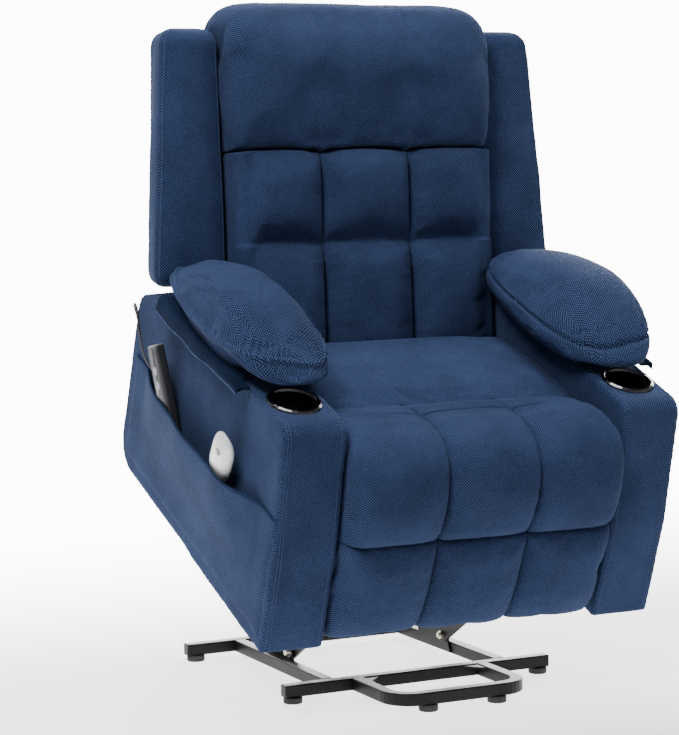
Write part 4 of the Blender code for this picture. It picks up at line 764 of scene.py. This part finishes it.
def build_head():
    """The head cushion, hanging over the top of the back and gathered at its seam."""
    full = [(-0.104, 0.4562), (-0.128, 0.463), (-0.144, 0.492), (-0.149, 0.54), (-0.148, 0.6),
            (-0.139, 0.655), (-0.12, 0.698), (-0.086, 0.729), (-0.036, 0.7405), (0.018, 0.734),
            (0.048, 0.708), (0.058, 0.678), (0.057, 0.645)]
    slack = [(-0.101, 0.4562), (-0.116, 0.463), (-0.13, 0.492), (-0.136, 0.54), (-0.134, 0.6),
             (-0.126, 0.652), (-0.108, 0.688), (-0.077, 0.711), (-0.033, 0.72), (0.012, 0.715),
             (0.038, 0.692), (0.05, 0.668), (0.05, 0.645)]
    rear = section([(0.03, 0.6412), (0.01, 0.6412), (BOARD_FRONT, 0.6412), (BOARD_FRONT, 0.6),
                    (BOARD_FRONT, 0.55), (BOARD_FRONT, 0.5), (-0.012, 0.4562), (-0.05, 0.4562)])
    full_curve, slack_curve = section(full, 72), section(slack, 72)
    rings = []
    for x, _ in channel_stations(BACK_HALF, TUFT_SEAMS, 20):
        lift = max(1.0 - abs(x / BACK_HALF) ** 9.0, 0.0) ** 0.8
        inset = end_inset(x, BACK_HALF, 0.03)
        ring = []
        for s, f in zip(slack_curve, full_curve):
            p = s.lerp(f, lift)
            over = ramp(p.z, 0.6, 0.735)
            p.y += inset * (1.0 - over) if p.y < 0.0 else -inset * 0.5
            p.z += bow(x) * (1.0 - ramp(p.z, 0.4562, 0.5)) - inset * over
            ring.append(p)
        rings.append(at(x, ring + rear))
    mesh = loft(rings)

    def held(p):
        return 1.0 if p.y > -0.01 and p.z < 0.66 else bell(p.z, HEAD_SEAM + bow(p.x), 0.006)

    mesh = swelled(mesh, held, 0.9, 0.03, 0.009)

    def gathers(p):
        if p.y > -0.03:
            return 0.0012 * rumple(p, 18.0, 8.0)
        near = fading(max(p.z - HEAD_SEAM, 0.0), 0.026)
        fold = sin(p.x * 150.0 + 5.0 * wavy(p.x * 9.0, 0.0, p.z * 5.0))
        spot = near_any(p.x, (*TUFT_SEAMS, 0.27), 0.03)
        drape = 0.003 * wavy(p.x * 7.0 + 3.0, 1.0, p.z * 4.0)
        return near * (0.0008 * fold + 0.0034 * fold * spot) + drape + 0.0008 * rumple(p, 30.0, 4.0)

    displace(mesh, gathers)
    upholstered("head_pillow", mesh, BACK, "backrest", "head_cushion")


def build_back_cover():
    """The slack rear panel of the backrest."""
    low, high, front, rear = 0.01, 0.64, 0.008, 0.058
    rings = []
    for step in range(31):
        even = step / 15 - 1
        share = 0.5 * sin(pi * even / 2) + 0.5 * even
        x = BACK_HALF * share
        ring = []
        for row in range(31):
            crown = (1.0 - abs(row / 15 - 1.0) ** 6.0) * (1.0 - abs(share) ** 6.0)
            ring.append(Vector((0.0, rear - 0.012 + 0.012 * crown, low + (high - low) * row / 30)))
        ring += section([(front, up) for up in (high, 0.45, 0.25, low)])
        centre = Vector((0.0, 0.02, (low + high) / 2))
        rings.append(at(x, inset_ring(ring, centre, end_inset(x, BACK_HALF, 0.012))))
    mesh = loft(rings)

    def slack(p):
        return 0.0022 * rumple(p, 6.0, 6.0) + 0.001 * wavy(p.x * 30.0, 0.0, p.z * 6.0)

    displace(mesh, slack)
    upholstered("back_rear_panel", mesh, BACK, "backrest", "back_cover")


def wing_front(rise):
    """The wing's front face leans forward towards its foot; rise is 0 there and 1 at the top."""
    return -0.071 - 0.02 * (1.0 - rise)


def build_wing(side, name):
    """The side bolster: a boxed pad with a front panel between two seams."""
    inner, low, high, rear, corner, radius, steps = 0.2887, 0.1955, 0.6965, 0.05, 0.013, 0.034, 54
    middle, reach = (low + high) / 2, (high - low) / 2
    rings = []
    for step in range(steps + 1):
        even = 2 * step / steps - 1
        share = 0.45 * sin(pi * even / 2) + 0.55 * even
        up = middle + reach * share
        rise = (up - low) / (high - low)
        front = wing_front(rise)
        outer, rear_outer = 0.442 - 0.036 * rise, 0.401 - 0.014 * rise
        bulge = 0.004 * (1.0 - share * share)
        flank = 0.72 * outer + 0.28 * rear_outer + bulge
        outline = [
            (inner, rear - corner), (inner, 0.01), (inner, -0.03), (inner, front + corner),
            (inner + 0.004, front + 0.004), (inner + corner, front - 0.001),
            (inner + 0.045, front - 0.006 - bulge), (outer - 0.045, front - 0.006 - bulge),
            (outer - corner, front - 0.001), (outer - 0.004, front + 0.004), (outer, front + corner),
            (flank, -0.03), (flank - 0.008, 0.0), (rear_outer + 0.004, rear - 0.022),
            (rear_outer, rear - 0.01), (rear_outer - corner, rear), (rear_outer - 0.05, rear + 0.004),
            (inner + 0.03, rear + 0.003), (inner + 0.006, rear - 0.002)]
        points = catmull([(side * x, y, 0.0) for x, y in outline], 72, cyclic=True)
        centre = Vector((side * (inner + outer) / 2, -0.012, 0.0))
        ring = inset_ring(points, centre, end_inset(reach * share, reach, radius))
        rings.append([Vector((p.x, p.y, up)) for p in ring])
    mesh = loft(rings)
    box_uv(mesh)

    def soft(p):
        edge = fading(abs(abs(p.x) - 0.425), 0.02)
        top = ramp(p.z, high - 0.07, high - 0.01) * bell(abs(p.x), 0.405, 0.022)
        wave = wavy(p.x * 20.0, p.y * 12.0, p.z * 30.0)
        gather = sin(p.x * 190.0 + p.y * 150.0) * top
        return 0.0022 * rumple(p, 9.0, 7.0 + side) + 0.0014 * wave * edge + 0.0012 * gather

    displace(mesh, soft)
    mesh.validate()
    piece = new_object(f"wing_bolster_{name}", mesh, FABRIC, BACK, "backrest", [f"wing_{name}"])
    for label, x_low, x_high in (("outer", 0.44, 0.4045), ("inner", 0.2925, 0.2925)):
        path = []
        for step in range(41):
            rise = step / 40
            place = (side * (x_low + (x_high - x_low) * rise), wing_front(rise) - 0.004,
                     low + 0.012 + (high - low - 0.024) * rise)
            path.append(BACK @ Vector(place))
        thick_line(f"wing_seam_{label}_{name}", laid_on(mesh, path, -0.0002), 0.0012, THREAD, "backrest")
    subdivided(piece)


# ---------------- arms
PAD = {"front": 0.143, "rear": 0.594, "inner": 0.236, "outer": 0.4534, "height": 0.131, "roundness": 2.55,
       "crest": 0.339, "nose": 0.08, "run": 0.36, "tail": 0.15, "slope": 0.06, "lean": 0.4,
       "lean_start": 0.35, "undercut": 0.056, "sag": 0.016}
PAD_BASE = ARM_HEIGHT + 0.0051
PAD_SEAM = 0.046             # height of the seam round the pad's front and side
PAD_CARRIED = ARM_INNER - 0.004   # the pad lies on the arm from here outwards


def build_pad(side, name):
    """The stuffed pad, an egg-like dome, gathered above the seam round its front and side."""
    form = cube_form(44)
    middle = Vector(((PAD["inner"] + PAD["outer"]) / 2, (PAD["front"] + PAD["rear"]) / 2, PAD["height"] / 2))
    half = Vector(((PAD["outer"] - PAD["inner"]) / 2, (PAD["rear"] - PAD["front"]) / 2, PAD["height"] / 2))
    power = PAD["roundness"]
    for vertex in form.verts:
        unit = Vector([sin(value * pi / 2) ** 3 * 0.25 + value * 0.75 for value in vertex.co])
        shrink = sum(abs(value) ** power for value in unit) ** (1.0 / power)
        place = Vector(m + h * value / shrink for m, h, value in zip(middle, half, unit))
        if unit.z < -0.999:
            place.z = 0.0
        share = place.z / PAD["height"]
        fall = PAD["tail"] * max((place.y - PAD["crest"]) / PAD["run"], 0.0) ** 2
        fall += PAD["nose"] * max((PAD["crest"] - place.y) / (PAD["crest"] - PAD["front"]), 0.0) ** 2
        inward = max((middle.x - place.x) / half.x, 0.0) ** 2
        fall += PAD["slope"] * inward * (1.0 - 0.7 * ramp(place.y, 0.34, 0.52))
        lean = PAD["lean"] * place.z * ramp(place.y, PAD["lean_start"], PAD["rear"])
        undercut = PAD["undercut"] * (1.0 - ramp(share, 0.0, 0.4)) * (0.5 - 0.5 * unit.y)
        sag = PAD["sag"] * ramp(PAD_CARRIED - place.x, 0.0, 0.03) * (1.0 - ramp(share, 0.1, 0.9))
        vertex.co = (side * place.x, place.y + lean + undercut, PAD_BASE + share * (PAD["height"] - fall) - sag)
    bmesh.ops.recalc_face_normals(form, faces=form.faces)
    mesh = finished(form)

    def seam_height(p):
        return PAD_BASE + PAD_SEAM + 0.014 * (1.0 - ramp(p.y, 0.18, 0.4)) * ramp(side * p.x, 0.26, 0.4)

    def held(p):
        return 1.0 if p.z < PAD_BASE + 0.004 else bell(p.z, seam_height(p), SEWN)

    mesh = denser(swelled(mesh, held, 0.8, 0.006, 0.006))
    box_uv(mesh)

    def folds(p):
        above = p.z - seam_height(p)
        front = 1.0 - ramp(p.y, 0.2, 0.36)
        band = fading(max(above - 0.004, 0.0), 0.03) * (1.0 if above > 0.0 else fading(-above, 0.003))
        angle = atan2((p.y - 0.33) / 0.2, (side * p.x - middle.x) / 0.11)
        pleat = sin(angle * 54.0 + 1.8 * rumple(p, 9.0, 2.0)) * (0.8 + 0.8 * rumple(p, 12.0, 9.0))
        crease = wavy(p.x * 16.0, p.y * 9.0, p.z * 24.0)
        tail = ramp(p.y, 0.5, 0.6) * fading(abs(above), 0.03)
        seam = -0.005 * bell(above, 0.0, 0.0036)
        return (band * (0.0026 * pleat * front + 0.001 * crease) + 0.0014 * tail * sin(p.x * 210.0)
                + seam + 0.0016 * rumple(p, 7.0, side))

    displace(mesh, folds)
    for vertex in mesh.vertices:
        if side * vertex.co.x > PAD_CARRIED:
            vertex.co.z = max(vertex.co.z, PAD_BASE)
    path = []
    for step in range(81):
        turn = radians(-190.0 + 250.0 * step / 80)
        place = Vector((side * (middle.x + half.x * cos(turn)), middle.y + half.y * sin(turn), 0.0))
        path.append(Vector((place.x, place.y, seam_height(place))))
    thick_line(f"arm_cushion_seam_{name}", [CHAIR @ q for q in laid_on(mesh, path, 0.0001)], 0.001, THREAD)
    new_object(f"arm_cushion_{name}", mesh, FABRIC, CHAIR, "chair", [f"arm_pad_{name}"])


def arm_side(back):
    return ARM_OUTER - ARM_TAPER * max(back, 0.0) / ARM_DEPTH


def from_node(name, voxel, smooth_steps):
    """A finer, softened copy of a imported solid's mesh, in the chair's frame."""
    form = bmesh.new()
    form.from_mesh(NODES[name].data)
    bmesh.ops.remove_doubles(form, verts=form.verts, dist=0.00001)
    holder = placed("holder", finished(form))
    remesh = holder.modifiers.new("remesh", "REMESH")
    remesh.mode = "VOXEL"
    remesh.voxel_size = voxel
    smooth = holder.modifiers.new("smooth", "SMOOTH")
    smooth.factor = 0.5
    smooth.iterations = smooth_steps
    bpy.context.view_layer.update()
    result = applied(holder)
    result.transform(CHAIR.inverted())
    return result


def build_arm(side, name):
    """The arm's upholstered body, with its sewn edges."""
    mesh = from_node(f"arm_{name}", 0.006, 3)

    def soft(p):
        return 0.0018 * rumple(p, 6.0, 10.0 + side) + 0.0007 * rumple(p, 26.0, 3.0)

    displace(mesh, soft)
    box_uv(mesh)
    piece = new_object(f"arm_body_{name}", mesh, FABRIC, CHAIR, "chair", [f"arm_{name}"])
    for edge, x, last in (("outer", ARM_OUTER - 0.0105, 0.207), ("outer_twin", ARM_OUTER - 0.0165, 0.213),
                          ("inner", ARM_INNER + 0.0105, 0.207)):
        line = section([(-0.01, 0.012), (-0.004, 0.2), (0.012, 0.34), (0.026, 0.395), (0.044, 0.424),
                        (0.075, 0.4385), (0.13, 0.439), (last, 0.439)], 70)
        path = [CHAIR @ p for p in at(side * x, line)]
        thick_line(f"arm_seam_{edge}_{name}", laid_on(mesh, path, 0.0001), 0.0009, THREAD)
    subdivided(piece)


def build_flap(side, name):
    """The sewn skirt under the pad, hanging over the arm's outer side, with piping on its hem."""
    start, stop, steps = 0.19, 0.59, 48
    top, foot = ARM_HEIGHT + 0.0052, ARM_HEIGHT + 0.001
    rings, hem_line = [], []
    for step in range(steps + 1):
        share = step / steps
        back = start + (stop - start) * share
        inner = 0.416 - 0.131 * ramp(back, 0.225, 0.26)
        hem = 0.434 - 0.018 * ramp(share, 0.0, 0.7) + 0.001 * sin(share * 21.0)
        flare = 0.44 + 0.002 * sin(share * 17.0) * sin(pi * share)
        near, far = inner + (flare - inner) * 0.35, inner + (flare - inner) * 0.7
        outline = [(inner, top), (near, top), (far, top), (flare - 0.006, top + 0.0012), (flare, top - 0.004),
                   (flare + 0.003, hem + 0.01), (flare + 0.004, hem), (flare + 0.0005, hem),
                   (flare - 0.001, hem + 0.01), (flare - 0.005, top - 0.007), (flare - 0.01, foot + 0.0002),
                   (far, foot), (near, foot), (inner, foot)]
        rings.append([Vector((side * x, back, up)) for x, up in outline])
        hem_line.append(CHAIR @ Vector((side * (flare + 0.0028), back, hem - 0.0008)))
    mesh = loft(rings, 1)
    box_uv(mesh)
    # the skirt wears the darker copy of the weave, painted shade for the shadow it hangs in
    new_object(f"arm_flap_{name}", mesh, FABRIC_SHADE, CHAIR, "chair", [f"arm_flange_{name}"])
    thick_line(f"arm_flap_hem_{name}", hem_line, 0.0019, FABRIC)


# ---------------- side pocket
POCKET = {"front": 0.012, "rear": 0.738, "bottom": 0.026, "edge": 0.248}
POCKET_FLAT = (0.71, 0.222)


def pocket_point(along, rise):
    """A point of the pocket's cloth, along its length and up from its closed bottom."""
    back = POCKET["front"] + along * (POCKET["rear"] - POCKET["front"])
    gape = 0.0365 * max(1.0 - (abs(back - 0.37) / 0.3) ** 3, 0.0)
    out = gape * ramp(rise, 0.12, 1.0)
    up = POCKET["bottom"] + rise * (POCKET["edge"] - POCKET["bottom"])
    up += rise * 0.018 * ramp(0.27 - along, 0.0, 0.2) + rise * 0.006 * sin(pi * along)
    fold = ramp(rise, 0.35, 0.9) * sin(pi * along) * 0.0026
    out += fold * sin(along * 24.0 + rise * 2.0)
    sewn = min(ramp(along, 0.0, 0.02), ramp(1.0 - along, 0.0, 0.02), ramp(rise, 0.0, 0.05))
    return Vector((-(arm_side(back) - 0.0016 + 0.0036 * sewn + max(out, 0.0)), back, up))


def build_pocket():
    """The pocket's cloth, one sheet sewn down on three sides, with a hem along its mouth."""
    columns, rows = 110, 34
    form = bmesh.new()
    layer = form.loops.layers.uv.new("weave")
    grid = [[form.verts.new(pocket_point(i / columns, j / rows)) for j in range(rows + 1)]
            for i in range(columns + 1)]
    width, height = POCKET_FLAT
    for i in range(columns):
        for j in range(rows):
            corners = ((i, j), (i, j + 1), (i + 1, j + 1), (i + 1, j))
            face = form.faces.new([grid[a][b] for a, b in corners])
            for loop, (a, b) in zip(face.loops, corners):
                loop[layer].uv = (width * a / columns, height * b / rows)
    bmesh.ops.recalc_face_normals(form, faces=form.faces)
    mesh = finished(form)
    panel = new_object("side_pocket_cloth", mesh, FABRIC, CHAIR, "chair", ["pocket_panel"])
    shell = panel.modifiers.new("thickness", "SOLIDIFY")
    shell.thickness = 0.0016
    shell.offset = 0.0
    # the hem is in the darker copy of the weave, painted shade
    hem = thick_line("side_pocket_hem", [CHAIR @ pocket_point(i / columns, 1.0) for i in range(columns + 1)],
                     0.0024, FABRIC_SHADE)


# ---------------- hand controls
def leaning(place, up_axis):
    """Local +Z is the piece's length and local -X faces out of the pocket."""
    up = Vector(up_axis).normalized()
    out = Vector((-1.0, 0.0, 0.0))
    out = (out - out.dot(up) * up).normalized()
    across = up.cross(-out)
    return CHAIR @ Matrix.Translation(place) @ Matrix((-out, across, up)).transposed().to_4x4()


def build_handset_face():
    """The thin face plate on the handset's outer side."""
    thick, wide, long = HANDSET_SIZE
    form = bmesh.new()
    bmesh.ops.create_cube(form, size=1.0)
    bmesh.ops.scale(form, vec=(0.0012, wide - 0.01, long - 0.014), verts=form.verts)
    bmesh.ops.translate(form, vec=(-thick / 2 - 0.0002, 0.0, -long / 2), verts=form.verts)
    edges = [e for e in form.edges if abs((e.verts[0].co - e.verts[1].co).x) > 0.0005]
    bmesh.ops.bevel(form, geom=edges, offset=0.006, segments=5, affect="EDGES")
    new_object("handset_face_plate", finished(form), FACE, leaning(HANDSET_TOP, HANDSET_UP), "chair")


def build_remote():
    """The white remote's domed body."""
    place = leaning(REMOTE_MIDDLE, REMOTE_UP) @ Matrix.Rotation(radians(REMOTE_TURN), 4, "Z")
    form = cube_form(20)
    for vertex in form.verts:
        unit = vertex.co.copy()
        flat = (abs(unit.y) ** 3.2 + abs(unit.z) ** 3.2) ** (1 / 3.2)
        shrink = (abs(unit.x) ** 2.4 + flat ** 2.4) ** (1 / 2.4)
        vertex.co = Vector([value * size for value, size in zip(unit, REMOTE_SIZE)]) * (0.5 / shrink)
    new_object("massage_remote_body", finished(form), WHITE, place, "chair", ["massage_remote"])


def build_cord():
    cord_path = [CHAIR @ p for p in catmull(cord_route(), 150)]
    cord = line_object("handset_lead", cord_path, CORD_DIAMETER / 2, 3, CORD_RUBBER)
    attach(cord, "chair")
    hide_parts("handset_cord")


# ---------------- rigid nodes
def dress_rim(node):
    """Smoked chrome on the faces of the cup holder's rim, which stands above the arm."""
    node.data.materials.append(SMOKED)
    to_chair = CHAIR.inverted() @ node.matrix_world
    for polygon in node.data.polygons:
        if (to_chair @ polygon.center).z > ARM_HEIGHT - 0.004:
            polygon.material_index = 1


DRESS = (
    (GREY, ("_button",)),
    (STEEL, ("cross_tube", "side_rail", "front_loop", "pivot_bracket", "motor_clevis", "lift_link",
             "lift_torque", "guide_link", "mechanism_plate", "footrest_lower_links", "footrest_upper_link")),
    (ZINC, ("pivot_bolt",)), (RUBBER, ("foot_",)), (BRIGHT, ("actuator_rod",)),
    (BLACK, ("lift_motor", "control_box", "handset", "cord_gland")), (BOWL, ("cup_holder",)),
    (WHITE, ("massage_remote",)), (PLY, ("seat_platform", "board")), (LINING, ("rear_valance",)))


def dress_nodes():
    """The first material whose key is in a node's name."""
    for name, node in NODES.items():
        for material, keys in DRESS:
            if any(key in name for key in keys):
                node.data.materials.clear()
                node.data.materials.append(material)
                break
        if "weave" not in node.data.uv_layers:
            box_uv(node.data)
        if "cup_holder" in name:
            dress_rim(node)


# ---------------- studio
LIGHTS = (("key", (-3.8, -2.8, 6.1), 2.4, 520.0), ("side", (4.5, -2.5, 4.5), 2.5, 70.0),
          ("top", (0.0, 0.2, 7.0), 2.6, 350.0))
LIT_PLACE = (0.0, 0.0, 0.6)
FLOOR_FRONT, FLOOR_REAR, FLOOR_SIDE, WALL_TOP = -9.0, 3.0, 12.0, 9.0
WALL_CURVE = 2.0             # radius of the curve between floor and wall


def area_light(name, place, size, power):
    data = bpy.data.lights.new(name, "AREA")
    data.shape = "DISK"
    data.size = size
    data.energy = power
    light = placed(name, data)
    light.location = place
    light.rotation_euler = (Vector(LIT_PLACE) - Vector(place)).to_track_quat("-Z", "Y").to_euler()


def build_studio():
    """A pale floor that curves up into a pale wall and glows with painted light, and soft light from high on
    the left.
    """
    form = bmesh.new()
    turns = [pi / 2 * step / 14 for step in range(1, 15)]
    profile = [(FLOOR_FRONT, 0.0), (FLOOR_REAR, 0.0)]
    profile += [(FLOOR_REAR + WALL_CURVE * sin(a), WALL_CURVE - WALL_CURVE * cos(a)) for a in turns]
    profile += [(FLOOR_REAR + WALL_CURVE, WALL_TOP)]
    rows = [[form.verts.new((x, y, z - 0.0004)) for y, z in profile] for x in (-FLOOR_SIDE, FLOOR_SIDE)]
    for index in range(len(profile) - 1):
        form.faces.new((rows[0][index], rows[1][index], rows[1][index + 1], rows[0][index + 1]))
    mesh = finished(form)
    mesh.name = "studio_floor"
    mesh.shade_smooth()
    m = Nodes("studio_white")
    m.set(Base_Color=(0.36, 0.36, 0.362, 1.0), Roughness=0.9, Specular_IOR_Level=0.0)
    place = m.add("SeparateXYZ")
    m.put(place.inputs[0], m.object_space())
    # the floor and wall glow, painted light: faint far in front of the chair, brighter round it, much brighter
    # far behind it, and dimmed towards the left
    near = m.smooth_range(place.outputs[1], -1.0, -0.2, 0.3, 2.4)
    far = m.smooth_range(place.outputs[1], 0.2, 2.2, 0.0, 9.0)
    beside = m.math("MULTIPLY_ADD", place.outputs[1], -0.33, place.outputs[0])
    within = m.smooth_range(beside, -1.7, -0.9, 0.1, 1.0)
    glow = m.math("MULTIPLY", m.math("ADD", near, far), within)
    m.set(Emission_Color=(1.0, 1.0, 1.0, 1.0), Emission_Strength=glow)
    mesh.materials.append(m.material)
    placed("studio_floor", mesh)
    world = bpy.data.worlds.new("studio")
    bpy.context.scene.world = world
    world.use_nodes = True
    backdrop = world.node_tree.nodes["Background"].inputs
    backdrop["Color"].default_value = (0.95, 0.97, 1.0, 1.0)
    backdrop["Strength"].default_value = 0.35
    for light in LIGHTS:
        area_light(*light)


# ---------------- assembly
build_footrest()
build_seat()
build_lumbar()
build_head()
build_back_cover()
for SIDE, NAME in ((-1, "left"), (1, "right")):
    build_wing(SIDE, NAME)
    build_pad(SIDE, NAME)
    build_arm(SIDE, NAME)
    build_flap(SIDE, NAME)
build_pocket()
build_handset_face()
build_remote()
build_cord()
dress_nodes()
build_studio()
